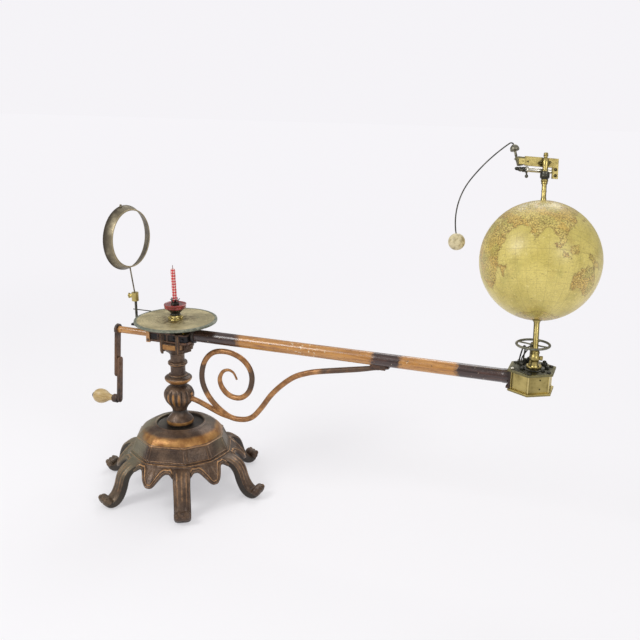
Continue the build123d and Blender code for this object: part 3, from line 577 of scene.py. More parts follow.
def disc_brass():
    """The turned disc: green-tan patina in fine rings, scuffed, with a grey-green rim and a worn scale."""
    p = Paint("disc_brass", 0.35)
    x, y, z = p.xyz()[:3]
    radius = p.root(p.plus(p.times(x, x), p.times(y, y)))
    angle = p.arctan(y, x)
    wander = p.times(p.noise(26, 3), 0.004)
    rings = p.sine(p.times(p.plus(radius, wander), 1500.0))
    broad = p.noise(34, 5, 0.62)
    color = p.mix(p.ramp(broad, 0.34, 0.68), (164, 152, 112), (204, 190, 148))
    color = p.mix(p.ramp(rings, 0.2, 1.0, 0, 0.16), color, (118, 116, 84))
    color = p.mix(p.ramp(p.noise(110, 5, 0.7), 0.56, 0.74, 0, 0.5), color, (112, 124, 96))
    middle = p.ramp(radius, 0.012, 0.034, 0.5, 0)
    color = p.mix(middle, color, (124, 108, 62))
    marks = p.times(p.ramp(p.noise(130, 4, 0.75), 0.48, 0.57), p.ramp(radius, 0.016, 0.04, 0.9, 0.14))
    color = p.mix(marks, color, (96, 76, 38))
    color = p.mix(p.ramp(p.noise(320, 4, 0.7), 0.62, 0.7, 0, 0.6), color, (108, 88, 46))
    worn = p.ramp(p.noise(48, 4, 0.6), 0.4, 0.62)
    for edge in (0.0555, 0.0505, 0.034):
        line = p.ramp(p.size(p.minus(radius, edge)), 0.0001, 0.00032, 0.5, 0)
        color = p.mix(p.times(line, worn), color, (84, 80, 56))
    ticks = p.size(p.minus(p.fract(p.times(angle, 72 / math.tau)), 0.5))
    tick = p.times(p.ramp(ticks, 0.43, 0.47), p.ramp(radius, 0.0506, 0.0508))
    tick = p.times(tick, p.ramp(radius, 0.0553, 0.0555, 1, 0))
    months = p.size(p.minus(p.fract(p.times(angle, 12 / math.tau)), 0.5))
    month = p.times(p.ramp(months, 0.488, 0.494), p.ramp(radius, 0.0338, 0.034))
    month = p.times(month, p.ramp(radius, 0.0553, 0.0555, 1, 0))
    marks = p.times(p.most(tick, month), p.times(worn, 0.5))
    color = p.mix(marks, color, (84, 80, 56))
    rim = p.ramp(radius, 0.0592, 0.0602)
    color = p.mix(rim, color, p.mix(p.ramp(p.noise(140, 5, 0.65), 0.36, 0.7), (104, 110, 96),
                                    (152, 152, 132)))
    # Painted shade along the lower edge and underside of the disc.
    under = p.ramp(z, 0.2762, 0.2775, 0.55, 0)
    color = p.mix(under, color, (60, 62, 52))
    normal = p.bump(rings, 0.02)
    normal = p.bump(p.noise(380, 4, 0.6), 0.06, normal)
    return p.finish(color, p.ramp(broad, 0.3, 0.7, 0.36, 0.52), normal)


def red_enamel():
    """Dark red enamel, glossy, chipped to black along its edges."""
    p = Paint("red_enamel", 0.0, Coat_Weight=0.7, Coat_Roughness=0.12)
    wear_and_sheen = p.look()[0]
    color = p.mix(p.ramp(p.noise(160, 4, 0.6), 0.36, 0.7), (104, 20, 20), (156, 40, 36))
    color = p.mix(p.times(wear_and_sheen, 0.55), color, (196, 78, 66))
    color = p.mix(p.ramp(p.noise(480, 3, 0.6), 0.64, 0.7, 0, 0.75), color, (40, 16, 16))
    return p.finish(color, p.ramp(p.noise(120, 3), 0.3, 0.7, 0.25, 0.4), p.bump(p.noise(300, 3), 0.1))


def candle_wax():
    """Red and white wax in a twisted diamond check."""
    p = Paint("candle_wax", 0.0, 0.34, Subsurface_Weight=0.12, Subsurface_Scale=0.002, Coat_Weight=0.25)
    x, y, z = p.xyz()[:3]
    angle = p.times(p.arctan(y, x), 3.0)
    climb = p.times(z, math.tau / 0.0086)
    one = p.sine(p.plus(angle, climb))
    two = p.sine(p.minus(angle, climb))
    white = p.times(p.ramp(p.times(one, two), -0.06, -0.22), 0.85)
    red = p.mix(p.ramp(p.noise(500, 3), 0.4, 0.7), (208, 26, 34), (170, 16, 28))
    color = p.mix(white, red, (240, 214, 206))
    wick = p.ramp(z, 0.3588, 0.3594)
    color = p.mix(wick, color, (120, 60, 54))
    return p.finish(color, 0.34, p.bump(p.plus(one, p.noise(500, 2)), 0.06))


def ring_metal():
    """The reflector's bezel: brown patinated brass, lighter on its edges."""
    p = Paint("ring_metal", 0.6)
    wear_and_sheen, _, dirt_and_shade = p.look()[:3]
    color = p.mix(p.ramp(p.noise(75, 5, 0.62), 0.36, 0.7), (98, 90, 74), (150, 140, 116))
    color = p.mix(p.ramp(p.noise(520, 3, 0.7), 0.56, 0.72, 0, 0.5), color, (64, 54, 42))
    color = p.mix(p.times(wear_and_sheen, 0.75), color, (176, 160, 126))
    color = p.mix(p.times(dirt_and_shade, 0.8), color, (44, 36, 30))
    return p.finish(color, p.ramp(p.noise(90, 4), 0.3, 0.7, 0.36, 0.52), p.bump(p.noise(480, 4), 0.06))


def moon_paint():
    """The little wooden moon: bone-coloured, with grey blotches like its seas."""
    p = Paint("moon_paint", 0.0, Coat_Weight=0.3, Coat_Roughness=0.3)
    seas = p.noise(150, 4, 0.6)
    color = p.mix(p.ramp(seas, 0.45, 0.62), (214, 200, 158), (170, 156, 116))
    color = p.mix(p.ramp(p.noise(620, 3, 0.6), 0.62, 0.72, 0, 0.6), color, (120, 104, 70))
    return p.finish(color, p.ramp(seas, 0.3, 0.7, 0.42, 0.58), p.bump(p.noise(380, 4), 0.12))


def globe_paper():
    """Printed gores under old yellow varnish: an unlettered map with a graticule, rivers and borders."""
    p = Paint("globe_paper", 0.0, Coat_Weight=0.4, Coat_Roughness=0.38)
    place = p.node("ShaderNodeAttribute", {"attribute_name": "globe_place"}).outputs["Vector"]
    coast = p.node("ShaderNodeAttribute", {"attribute_name": "coast"}).outputs["Fac"]
    x, y, z = p.xyz(place)[:3]
    lat = p.arcsine(z)
    lon = p.arctan(y, x)
    rough_edge = p.minus(p.noise(7.0, 8, 0.72, place), 0.5)
    shore = p.plus(coast, p.times(rough_edge, 17.0))
    land = p.ramp(shore, -0.15, 0.15)
    varnish = p.noise(1.7, 5, 0.6, place)
    sea = p.mix(p.ramp(varnish, 0.36, 0.68), (220, 202, 112), (198, 180, 88))
    sea = p.mix(p.ramp(p.noise(3.1, 5, 0.6, place), 0.5, 0.72, 0, 0.45), sea, (176, 166, 84))
    cells = p.node("ShaderNodeTexVoronoi", Vector=place, Scale=5.5, Randomness=1.0)
    tint = p.node("ShaderNodeSeparateColor", i0=cells.outputs["Color"]).outputs
    ground = p.mix(p.ramp(tint[0], 0.3, 0.7), (224, 202, 112), (218, 186, 94))
    ground = p.mix(p.ramp(tint[1], 0.6, 0.9, 0, 0.6), ground, (192, 182, 88))
    color = p.mix(land, sea, ground)
    ink = (112, 82, 36)
    wash = p.times(p.ramp(p.size(shore), 0.0, 2.6, 0.16, 0.0), land)
    color = p.mix(wash, color, (196, 128, 58))
    hatch = p.times(p.ramp(p.size(shore), 0.0, 1.9, 0.32, 0.0), p.flip(land))
    color = p.mix(hatch, color, (148, 132, 66))
    color = p.mix(p.ramp(p.size(shore), 0.12, 0.34, 0.85, 0), color, ink)
    warped = p.node("ShaderNodeVectorMath", {"operation": "ADD"}, i0=place,
                    i1=p.node("ShaderNodeTexNoise", Vector=place, Scale=14.0,
                              Detail=3.0).outputs[1]).outputs[0]
    edges = p.node("ShaderNodeTexVoronoi", {"feature": "DISTANCE_TO_EDGE"}, Vector=warped,
                   Scale=5.5).outputs["Distance"]
    border = p.times(p.ramp(edges, 0.008, 0.022, 0.5, 0), land)
    rivers = p.size(p.minus(p.noise(8.5, 5, 0.6, place), 0.5))
    border = p.most(border, p.times(p.ramp(rivers, 0.003, 0.008, 0.42, 0), land))
    color = p.mix(border, color, ink)
    flat = p.node("ShaderNodeCombineXYZ", i0=lon, i1=lat).outputs[0]
    specks = p.noise(1.0, 3, 0.75, p.stretch((30, 62, 1), flat))
    crowd = p.ramp(p.noise(5.0, 4, 0.65, place), 0.3, 0.62, 0.25, 1.0)
    flecks = p.times(p.times(p.ramp(specks, 0.5, 0.57, 0, 0.95), p.ramp(shore, -1.5, 1.0, 0.22, 1.0)), crowd)
    fine = p.times(p.ramp(p.noise(38.0, 3, 0.7, place), 0.52, 0.6, 0, 0.72),
                   p.ramp(shore, -2.5, 1.5, 0.26, 1.0))
    tracks = p.size(p.minus(p.noise(1.0, 4, 0.5, p.stretch((2.2, 9, 1), flat)), 0.5))
    tracks = p.times(p.ramp(tracks, 0.002, 0.008, 0.35, 0), p.ramp(shore, -2.0, 0.0, 1.0, 0.0))
    flecks = p.most(p.most(flecks, fine), tracks)
    color = p.mix(flecks, color, (96, 70, 24))
    for value, count, squeeze in ((lon, 36, True), (lat, 36, False)):
        part = p.fract(p.plus(p.times(value, count / math.tau), 0.5))
        away = p.size(p.minus(part, 0.5))
        if squeeze:
            away = p.times(away, p.cosine(lat))
        color = p.mix(p.ramp(away, 0.006, 0.017, 0.42, 0), color, (134, 110, 52))
    belt = p.ramp(p.size(lat), 0.004, 0.012, 0.14, 0)
    color = p.mix(belt, color, ink)
    slope = p.minus(lat, p.times(p.sine(p.plus(lon, 0.4)), 0.41))
    color = p.mix(p.ramp(p.size(slope), 0.003, 0.009, 0.25, 0), color, ink)
    gore = p.size(p.minus(p.fract(p.times(lon, 12 / math.tau)), 0.5))
    gore = p.times(p.minus(0.5, gore), p.cosine(lat))
    color = p.mix(p.ramp(gore, 0.001, 0.004, 0.3, 0), color, (112, 92, 44))
    stain = p.ramp(p.noise(2.6, 6, 0.65, place), 0.5, 0.74, 0, 0.45)
    color = p.mix(stain, color, (176, 146, 60))
    color = p.mix(p.ramp(p.noise(19.0, 4, 0.6, place), 0.62, 0.7, 0, 0.4), color, (128, 100, 48))
    pale = p.ramp(p.noise(24.0, 3, 0.55, place), 0.62, 0.68, 0, 0.5)
    color = p.mix(pale, color, (228, 212, 140))
    normal = p.bump(p.noise(5.0, 4, 0.6, place), 0.5)
    normal = p.bump(p.noise(60.0, 3, 0.6, place), 0.05, normal)
    return p.finish(color, p.ramp(varnish, 0.3, 0.7, 0.32, 0.46), normal)


MAT = {
    "bronzed_iron": bronzed_iron(),
    "frame_iron": black_iron(),
    "scroll_iron": scroll_paint(),
    "arm_paint": arm_paint(),
    "rusty_iron": rusty_iron(),
    "handle_wood": pale_wood(),
    "dark_steel": steel(),
    "wheel_steel": steel("wheel_steel", (92, 92, 80), (140, 138, 120), 0.4, 0.6),
    "knob_metal": steel("knob_metal", (96, 92, 76), (156, 150, 126), 0.32, 0.8),
    "brass": brass("brass", (190, 172, 108), (142, 126, 72), 0.28, 0.3),
    "dark_brass": brass("dark_brass", (96, 94, 70), (62, 62, 48), 0.36),
    "gear_brass": brass("gear_brass", (190, 166, 98), (132, 110, 58), 0.3),
    "disc_brass": disc_brass(),
    "nickel": steel("nickel", (216, 212, 200), (186, 180, 164), 0.18, 0.95),
    "red_enamel": red_enamel(),
    "candle_wax": candle_wax(),
    "globe_paper": globe_paper(),
    "moon_wood": moon_paint(),
    "ring_metal": ring_metal(),
}


# ---------------------------------------------------------------- stand

def blend_steps(low, high, value):
    """0 below low, 1 above high, smooth between."""
    t = min(max((value - low) / (high - low), 0), 1)
    return t * t * (3 - 2 * t)


FACETS = (7, 43, 79, 115, 150, 185, 220, 258, 305, 335)


def faceted(angle, share):
    """The ten-sided wall at an angle: a factor on its corner radius, and the angle to the nearest corner.

    share is 0 for a round wall and 1 for a fully ten-sided one.
    """
    turn = math.degrees(angle) % 360
    after = next((k for k, v in enumerate(FACETS) if v > turn), 0)
    low, high = FACETS[after - 1], FACETS[after]
    width = (high - low) % 360
    into = (turn - low) % 360
    side = math.cos(math.radians(width / 2)) / math.cos(math.radians(into - width / 2))
    return 1 + share * (side - 1), math.radians(min(into, width - into))


def hit(centre, width, value):
    """A rounded bump of height 1 about a centre."""
    d = abs(value - centre) / width
    return math.cos(d * math.pi / 2) ** 2 if d < 1 else 0.0


def stand_dome():
    """The domed casting: recess, lipped rim, copper band, and ten framed panels."""
    steps = 720
    # Knots give radius, height, facet share, wear, copper band and dirt_and_shade; the last is painted shade
    # in the recess, at the foot of its wall, in the groove behind the lip and under the band.
    knots = [(6.2, 104.5, 0, 0, 0, 1), (20, 104.5, 0, 0, 0, 0.8), (34.8, 104.5, 0, 0, 0, 0.7),
             (36.2, 105.3, 0, 0, 0, 1), (36.7, 107.6, 0, 0, 0, 0.8), (37.5, 109.2, 0, 0.25, 0, 0.1),
             (39, 109.9, 0, 0.35, 0, 0), (40.6, 109.5, 0, 0.15, 0, 0), (41.8, 108.6, 0, 0, 0, 0.4),
             (43.5, 108.4, 0, 0, 0, 0.1), (47, 107.8, 0.1, 0, 0, 0), (50.5, 106.6, 0.3, 0.12, 0.05, 0),
             (54, 104.7, 0.35, 0, 0.2, 0), (57.6, 102.6, 0.35, 0, 0.55, 0), (60.5, 100.6, 0.35, 0, 0.85, 0),
             (63, 98.2, 0.35, 0, 1, 0), (65.2, 95.5, 0.4, 0, 1, 0), (66.8, 93.4, 0.5, 0, 0.9, 0),
             (67.6, 92.4, 0.6, 0, 0.5, 0.35), (68.4, 91.9, 0.75, 0.5, 0, 0), (69.3, 90.8, 0.9, 0.6, 0, 0)]
    top, bottom, zone = (69.5, 90.0), (78.6, 69.6), 26
    rows = [(r, z, share, (wear_and_sheen, copper_and_sheen, dirt_and_shade), None) for r, z, share, wear_and_sheen, copper_and_sheen, dirt_and_shade in knots]
    for i in range(zone + 1):
        t = i / zone
        rows.append((top[0] + (bottom[0] - top[0]) * t, top[1] + (bottom[1] - top[1]) * t, 1.0, (0, 0, 0), t))
    # The rows under the dome get painted shade.
    rows.append((78.4, 67.6, 1.0, (0.1, 0, 0.4), None))
    rows += [(r, z, share, (0, 0, 0.9), None)
             for r, z, share in ((72, 67.5, 1), (60, 86, 0.3), (50, 93, 0), (34, 95.2, 0), (6.2, 95.2, 0))]
    points, looks = [], []
    slope = Vector((top[1] - bottom[1], bottom[0] - top[0])).normalized()
    for r, z, share, look, t in rows:
        for i in range(steps):
            angle = math.tau * i / steps
            factor, corner = faceted(angle, share)
            radius, height = r * factor, z
            wear_and_sheen, copper_and_sheen, dirt_and_shade = look
            if t is not None:
                rib = hit(math.radians(2.0), math.radians(1.3), corner)
                frame_edge = max(hit(0, 0.08, t), hit(1, 0.09, t), 0.9 * rib)
                inner = max(hit(0.13, 0.035, t), hit(0.87, 0.035, t)) if corner > math.radians(3.4) else 0
                spot = Vector((math.cos(angle) * radius, math.sin(angle) * radius, height))
                grit = noise.noise(spot * 0.35)
                lift = 1.0 * frame_edge + 0.35 * inner + 0.3 * grit * (1 - frame_edge)
                radius, height = radius + slope.x * lift, height + slope.y * lift
                wear_and_sheen = 0.5 * frame_edge + 0.12 * inner
                dirt_and_shade = 0.35 * (1 - frame_edge) * hit(0.5, 0.6, 1 - t)
            points.append((radius * math.cos(angle), radius * math.sin(angle), height))
            looks.append((wear_and_sheen, copper_and_sheen, dirt_and_shade))
    form = Form().add(points, rings_to_faces(len(rows), steps, True), looks)
    make("stand_dome", form, "bronzed_iron", "stand", ["base_dome"])


SKIRT_RADIUS = 92


def skirt_edge(angle):
    """How far down the skirt reaches, 0 to 1: full at each lobe, short at the arches beside each leg."""
    away = abs((math.degrees(angle) + 30) % 60 - 30)
    lobe = blend_steps(15.5, 28.8, away)
    root = blend_steps(13.5, 7.5, away)
    return 0.37 + 0.63 * lobe + 0.2 * root


def stand_skirt():
    """The scalloped skirt with a copper bead under the panels, double beads on its edge and ridged lobes."""
    steps, rows_out = 720, 40
    curve = smooth_line([(77.6, 69.4), (79.8, 66.6), (83.6, 63.3), (89, 59.4), (94, 54.6), (98.6, 49),
                         (101.6, 43.2), (103.4, 38.6)], 8)
    lengths = [0.0]
    for a, b in zip(curve, curve[1:]):
        lengths.append(lengths[-1] + math.dist(a, b))

    def on_curve(s):
        want = s * lengths[-1]
        k = max(i for i, v in enumerate(lengths[:-1]) if v <= want + 1e-9)
        t = (want - lengths[k]) / (lengths[k + 1] - lengths[k])
        a, b = curve[k], curve[k + 1]
        ahead = Vector((b[0] - a[0], b[1] - a[1])).normalized()
        return (a[0] + (b[0] - a[0]) * t, a[1] + (b[1] - a[1]) * t), Vector((-ahead.y, ahead.x))

    points, looks = [], []
    levels = [i / rows_out for i in range(rows_out + 1)]
    for inside in (False, True):
        for v in reversed(levels) if inside else levels:
            for i in range(steps):
                angle = math.tau * i / steps
                reach = skirt_edge(angle)
                step = math.radians(0.5)
                rise = skirt_edge(angle + step) - skirt_edge(angle - step)
                turn = rise * lengths[-1] / (2 * step * SKIRT_RADIUS)
                s = v * reach
                (r, z), out = on_curve(s)
                share = 1 - blend_steps(0.0, 0.3, s)
                radius = r * faceted(angle, share)[0]
                away = abs((math.degrees(angle) + 30) % 60 - 30)
                from_edge = (1 - v) * reach * lengths[-1] / math.sqrt(1 + turn * turn)
                down = s * lengths[-1]
                top_bead = hit(4.6, 1.9, down)
                edge_bead = hit(1.9, 2.1, from_edge)
                second = hit(5.6, 2.2, from_edge) * (1 - top_bead)
                leaf = hit(28.8 - 0.13 * (down - 8), 1.3, away)
                leaf *= blend_steps(6, 10, from_edge) * blend_steps(10, 16, down)
                hollow = -1.0 * blend_steps(7, 11, from_edge) * blend_steps(7, 12, down)
                lift = 1.5 * top_bead + 1.3 * edge_bead + 1.2 * second + 1.1 * leaf + hollow
                if inside:
                    lift = -3.6
                radius, height = radius + out.x * lift, z + out.y * lift
                points.append((radius * math.cos(angle), radius * math.sin(angle), height))
                # Painted shade in the groove between the edge beads and over the whole inside of the skirt.
                groove_shade = hit(3.8, 1.0, from_edge) * (1 - top_bead)
                wear_and_sheen = max(0.6 * top_bead, 0.4 * edge_bead, 0.68 * second, 0.4 * leaf)
                looks.append((0, 0, 0.9) if inside else (wear_and_sheen, 0, 0.6 * groove_shade))
    form = Form().add(points, rings_to_faces(2 * len(levels), steps, True), looks)
    make("stand_skirt", form, "bronzed_iron", "stand", ["base_skirt"])


def stand_legs():
    """Six cabriole legs with three front ridges and a rounded, knuckled toe that curls up."""
    stations = [(79.5, 60, 5.0, 15.2), (86, 58.2, 5.6, 14.4), (92, 55.4, 6.2, 13.7), (98, 51.2, 6.9, 13.3),
                (102.6, 45.6, 7.3, 13.1), (105.6, 38.6, 7.4, 13.0), (107.8, 31, 7.4, 13.0),
                (110.6, 23.6, 7.4, 13.0), (114.8, 15.8, 7.5, 13.0), (120.4, 9.9, 7.4, 13.0),
                (126.4, 7.3, 7.0, 12.9), (131.6, 7.6, 6.4, 12.6), (135.6, 10.4, 5.4, 12.0)]
    line = smooth_line(stations, 5)
    path = [(r, 0, z) for r, z, _, _ in line]

    def ridges(t, part):
        strength = blend_steps(0.04, 0.16, t) * (1 - blend_steps(0.74, 0.9, t))
        return strength * max(hit(0, 0.24, part), hit(0.52, 0.24, part), 0.8 * hit(0.9, 0.14, part))

    def section(t, angle):
        row = round(t * (len(line) - 1))
        _, _, deep, wide = line[row]
        c, s = math.cos(angle), math.sin(angle)
        across = wide * math.copysign(abs(c) ** 0.62, c)
        away = deep * math.copysign(abs(s) ** 0.62, s)
        if s < 0:
            away -= 1.3 * ridges(t, abs(across) / wide) - 0.5
        return across, away

    # Painted shade on the sides and back of each leg (0.8 against 0.15 on the front) and in the crease behind
    # the toe's roll; the ridges carry real wear.
    def looks(t, angle):
        s, part = math.sin(angle), abs(math.cos(angle)) ** 0.62
        wear_and_sheen = 0.55 * ridges(t, part) * (1 - 0.6 * blend_steps(0.45, 0.8, t)) if s < 0 else 0
        crease_shade = 0.8 * blend_steps(0.78, 0.95, t)
        return max(wear_and_sheen, 0.2 * hit(0.2, 0.2, t) if s < 0 else 0), 0, max(0.15 + 0.65 * (s > -0.45), crease_shade)

    def toe(t, angle):
        across = abs(t - 0.5) * 2
        ends = 1 - 0.45 * max(across - 0.72, 0) / 0.28
        radius = 7.4 * ends * (0.93 + 0.07 * abs(math.cos(t * math.pi * 3)))
        return radius * math.cos(angle), radius * math.sin(angle)

    form = Form()
    for i in range(6):
        place = turned(60 * i)
        sweep(form, path, section, 56, place, up=(0, -1, 0), looks=looks)
        curl = [(135.4, 12.6 * (2 * k / 36 - 1), 13) for k in range(37)]
        sweep(form, curl, toe, 28, place, up=(0, 0, 1), looks=lambda t,
              a: (0.3 * abs(math.cos(t * math.pi * 3)), 0, 0.25))
        for y in (-8.4, 0, 8.4):
            ball(form, (139.4, y, 15.6), (4.0, 3.4, 4.4), 14, place, (0.3, 0, 0.1))
    make("stand_legs", form, "bronzed_iron", "stand", ["legs"], sharp=60)


# ---------------------------------------------------------------- column and head

def column():
    """The turned column: bell foot, gadrooned ball, knop and ringed neck."""
    # The last value of each foot knot is painted shade where the foot meets the dome and where it narrows
    # into the ball.
    foot = smooth_line([(19.2, 105.6, 0, 0, 1), (20.9, 106.8, 0, 0, 1), (21.2, 108.6, 0.2, 0.3, 0.3),
                        (21.3, 110.6, 0.5, 1, 0), (21.1, 112.8, 0.4, 0.8, 0), (20.2, 115, 0.25, 0.15, 0),
                        (18.2, 117.6, 0.1, 0, 0), (15.6, 120.4, 0, 0, 0.1), (13.6, 122.8, 0, 0, 0.3),
                        (11.9, 126.5, 0, 0, 0.6), (11.4, 130, 0, 0, 0.9)], 5)
    bulb = smooth_line([(11.4, 130.4, 0, 0, 1), (12.6, 133, 0, 0, 0.8), (15, 137.4), (18.8, 142), (22, 146.8),
                        (23.8, 152), (24, 157), (22.9, 161.6), (20.3, 165.6), (16.4, 168.8), (13, 170.8),
                        (11.3, 172.4), (11, 173.4)], 5)
    # Painted shade where the ball meets the foot and the knop.
    ball_rows = [(r, z, 0.05, 0, 0.3 * hit(172, 5, z) + 0.3 * hit(132, 5, z)) for r, z, *_ in bulb]
    form = Form()
    lathe(form, [(6.2, 105.6)] + foot + [(6.2, 130)], 96, looped=True)
    points, looks, steps = [], [], 256
    rows = [(6.2, 130.4, 0, 0, 1)] + ball_rows + [(6.2, 173.4, 0, 0, 1)]
    for r, z, _, _, dirt_and_shade in rows:
        strength = blend_steps(133, 145, z) * (1 - blend_steps(163.5, 168.5, z))
        for i in range(steps):
            angle = math.tau * i / steps
            lobe = abs(math.sin(angle * 8 + 0.6))
            radius = r * (1 - 0.075 * strength * (1 - lobe ** 0.75))
            band = 0.5 * hit(165.8, 2.6, z)
            # The gadroon crests at mid-height are rubbed to copper as real wear and brightened towards
            # LIGHT_TURN as a painted highlight; groove_shade is painted shade down the grooves.
            light = hit(151, 18, z) * strength * blend_steps(0.72, 0.97, lobe)
            away = angle - math.radians(LIGHT_TURN)
            facing = 0.3 + 1.2 * max(0, math.cos(away * 1.6)) ** 2 * (math.cos(away) > 0)
            groove_shade = strength * (1 - blend_steps(0.1, 0.5, lobe))
            points.append((radius * math.cos(angle), radius * math.sin(angle), z))
            looks.append((max(band * 0.6, light * facing), 1.2 * light * max(facing - 0.35, 0),
                          max(dirt_and_shade, groove_shade)))
    form.add(points, rings_to_faces(len(rows), steps, True), looks)
    make("column_ball_visual", form, "bronzed_iron", "arm", ["column_ball"], sharp=50)

    # The last values in the knop and neck are painted shade in their creases and where one turning meets the
    # next.
    knop = smooth_line([(11, 173.6, 0, 0, 0.8), (13, 174.8, 0, 0, 0.3), (16.4, 176.6, 0.2, 0.3, 0),
                        (19.6, 179.4, 0.4, 0.9, 0), (21.2, 182, 0.5, 0.9, 0), (21.5, 184, 0.6, 0.3, 0),
                        (20.3, 185.8, 0.1, 0, 0.1), (17.4, 187.2, 0, 0, 0.2), (15.6, 188.2, 0, 0, 0.8),
                        (15.4, 189.3, 0.4, 0.1, 0), (14.2, 190.4, 0.3, 0, 0)], 4)
    neck = smooth_line([(12.2, 190.8, 0, 0, 0.8), (11.7, 193, 0, 0, 0.3), (11.6, 198),
                        (11.7, 203.2, 0, 0, 0.2), (12.8, 204.4, 0.1, 0, 0), (13.2, 205.6, 0, 0, 0.8),
                        (14.6, 206.5, 0.45, 0.1, 0), (15.4, 207.9, 0.55, 0.1, 0), (14.9, 209, 0, 0, 0.8),
                        (15.2, 210.2, 0.5, 0, 0), (14.2, 211.4, 0.2, 0, 0), (12, 212.4, 0, 0, 0.5),
                        (11.2, 214.2, 0, 0, 0.2), (11.1, 219), (11.3, 222.6), (12.4, 224, 0.2, 0, 0),
                        (12.9, 225.6, 0, 0, 0.5)], 4)
    form = Form()
    lathe(form, [(6.2, 173.6)] + knop + neck + [(6.2, 226)], 96, looped=True)
    make("column_neck_visual", form, "bronzed_iron", "arm", ["column_neck"])


def octagon(corner):
    """Eight corners, one flat towards the arm."""
    return [polar(corner, 22.5 + 45 * i) for i in range(8)]


def capital():
    """The eight-sided capital with a moulded lip and two bolted bosses."""
    levels = [(13, 226, 0.1), (15.6, 227.4, 0.3), (19.6, 230.4, 0.1), (23.6, 233.6, 0.1), (25.6, 234.8, 0.4),
              (25.4, 235.6, 0), (26.6, 236.4, 0.4), (26.9, 238, 0.3), (26.9, 243.8, 0.3), (26, 244.6, 0.1),
              (26.2, 246, 0)]
    form = Form()
    points, looks = [], []
    for corner, z, wear_and_sheen in levels:
        for i, (x, y) in enumerate(octagon(corner)):
            # The two faces towards the light get a painted copper highlight; the other faces a light, even
            # darkening.
            front = i in (5, 6) and 235.9 < z < 244.2
            points.append((x, y, z))
            looks.append((0.8, 0.75, 0) if front else (wear_and_sheen * 0.5, 0, 0.2))
    # The hollow inside gets painted shade.
    points += [(x, y, z) for z in (246, 238.3, 226) for x, y in octagon(9)]
    looks += [(0, 0, 1)] * 24
    form.add(points, rings_to_faces(len(levels) + 3, 8, True), looks)
    make("capital_visual", form, "bronzed_iron", "arm", ["capital"], bevel=0.7, sharp=25)
    form = Form()
    for turn in (-20, 160):
        place = turned(turn)
        block(form, (19.5, -8.5, 235), (28.6, 8.5, 246.4), place, (0.2, 0, 0))
        block(form, (23.5, -6.0, 231.2), (27.4, 6.0, 236), place, (0.15, 0, 0.2))
        for y in (-4.4, 4.4):
            slotted_screw(form, 3.0, 2.0, place @ along_x(28.4, y, 241), hex_head=True)
    make("capital_boss", form, "bronzed_iron", "arm", bevel=0.6)


def head_frame():
    """The open iron frame under the disc, with its flange, ribs, corner lugs, webs and bolts."""
    x0, x1, y0, y1, z0, z1 = -39, 30, -22, 22, 246, 262
    form = Form()
    outline = [(x0 + 3, y0), (x1 - 3, y0), (x1, y0 + 3), (x1, y1 - 3), (x1 - 3, y1), (x0 + 3, y1),
               (x0, y1 - 3), (x0, y0 + 3)]
    inner = [(x0 + 5, y0 + 4), (x1 - 5, y0 + 4), (x1 - 4, y0 + 5), (x1 - 4, y1 - 5), (x1 - 5, y1 - 4),
             (x0 + 5, y1 - 4), (x0 + 4, y1 - 5), (x0 + 4, y0 + 5)]
    points = [(x, y, z) for z in (z0, z0 + 3.4) for x, y in outline]
    points += [(x * 0.965, y * 0.95, z0 + 4.2) for x, y in outline]
    points += [(x * 0.965, y * 0.95, z1 - 3.2) for x, y in outline]
    points += [(x, y, z) for z in (z1 - 2.6, z1) for x, y in outline]
    points += [(x, y, z) for z in (z1, z0 + 2) for x, y in inner]
    points += [(x, y, z) for z in (z0 + 2, z0) for x, y in octagon(17)]
    # The flanges carry real wear; the recessed band between them (0.45) and the inside (0.8) get painted
    # shade.
    looks = [(0.55, 0, 0)] * 16 + [(0, 0, 0.45)] * 16 + [(0.3, 0, 0)] * 16 + [(0, 0, 0.8)] * 32
    form.add(points, rings_to_faces(len(points) // 8, 8, True), looks)
    for x in (-20, -4):
        block(form, (x - 1.6, y0 + 0.2, z0 + 2.5), (x + 1.6, y0 + 3, z1 - 2), look=(0.25, 0, 0))
    lug = Form()
    for side in (-1, 1):
        block(lug, (x0 - 1.4, side * 21 - 2.4, z0 - 1.6), (x0 + 4.6, side * 21 + 2.4, z1 - 0.6),
              look=(0.7, 0.2, 0))
        place = at(x0 + 1.6, side * 23.4, z0 + 2.2) @ turned(-90 * side, "X")
        slotted_screw(lug, 2.3, 0.9, place)
    for x in (8, 22):
        place = at(x, y0 + 0.4, z0 + 8) @ turned(90, "X")
        slotted_screw(form, 2.4, 1.4, place, hex_head=True)
    make("head_frame_visual", form, "frame_iron", "arm", ["head_frame"], bevel=0.5)
    make("head_frame_lugs", lug, "bronzed_iron", "arm", bevel=0.9)
    web = Form()
    for turn in (-57, 57, 123, 237):
        place = turned(turn)
        block(web, (18, -3.4, 232), (27.6, 3.4, 262), place=place, look=(0.25, 0, 0))
        block(web, (24, -2.4, 228.4), (27.0, 2.4, 233), place=place, look=(0.3, 0, 0))
        block(web, (26.8, -0.7, 231), (28.4, 0.7, 261), place=place, look=(0.5, 0, 0))
    make("head_webs", web, "bronzed_iron", "arm", bevel=0.6)


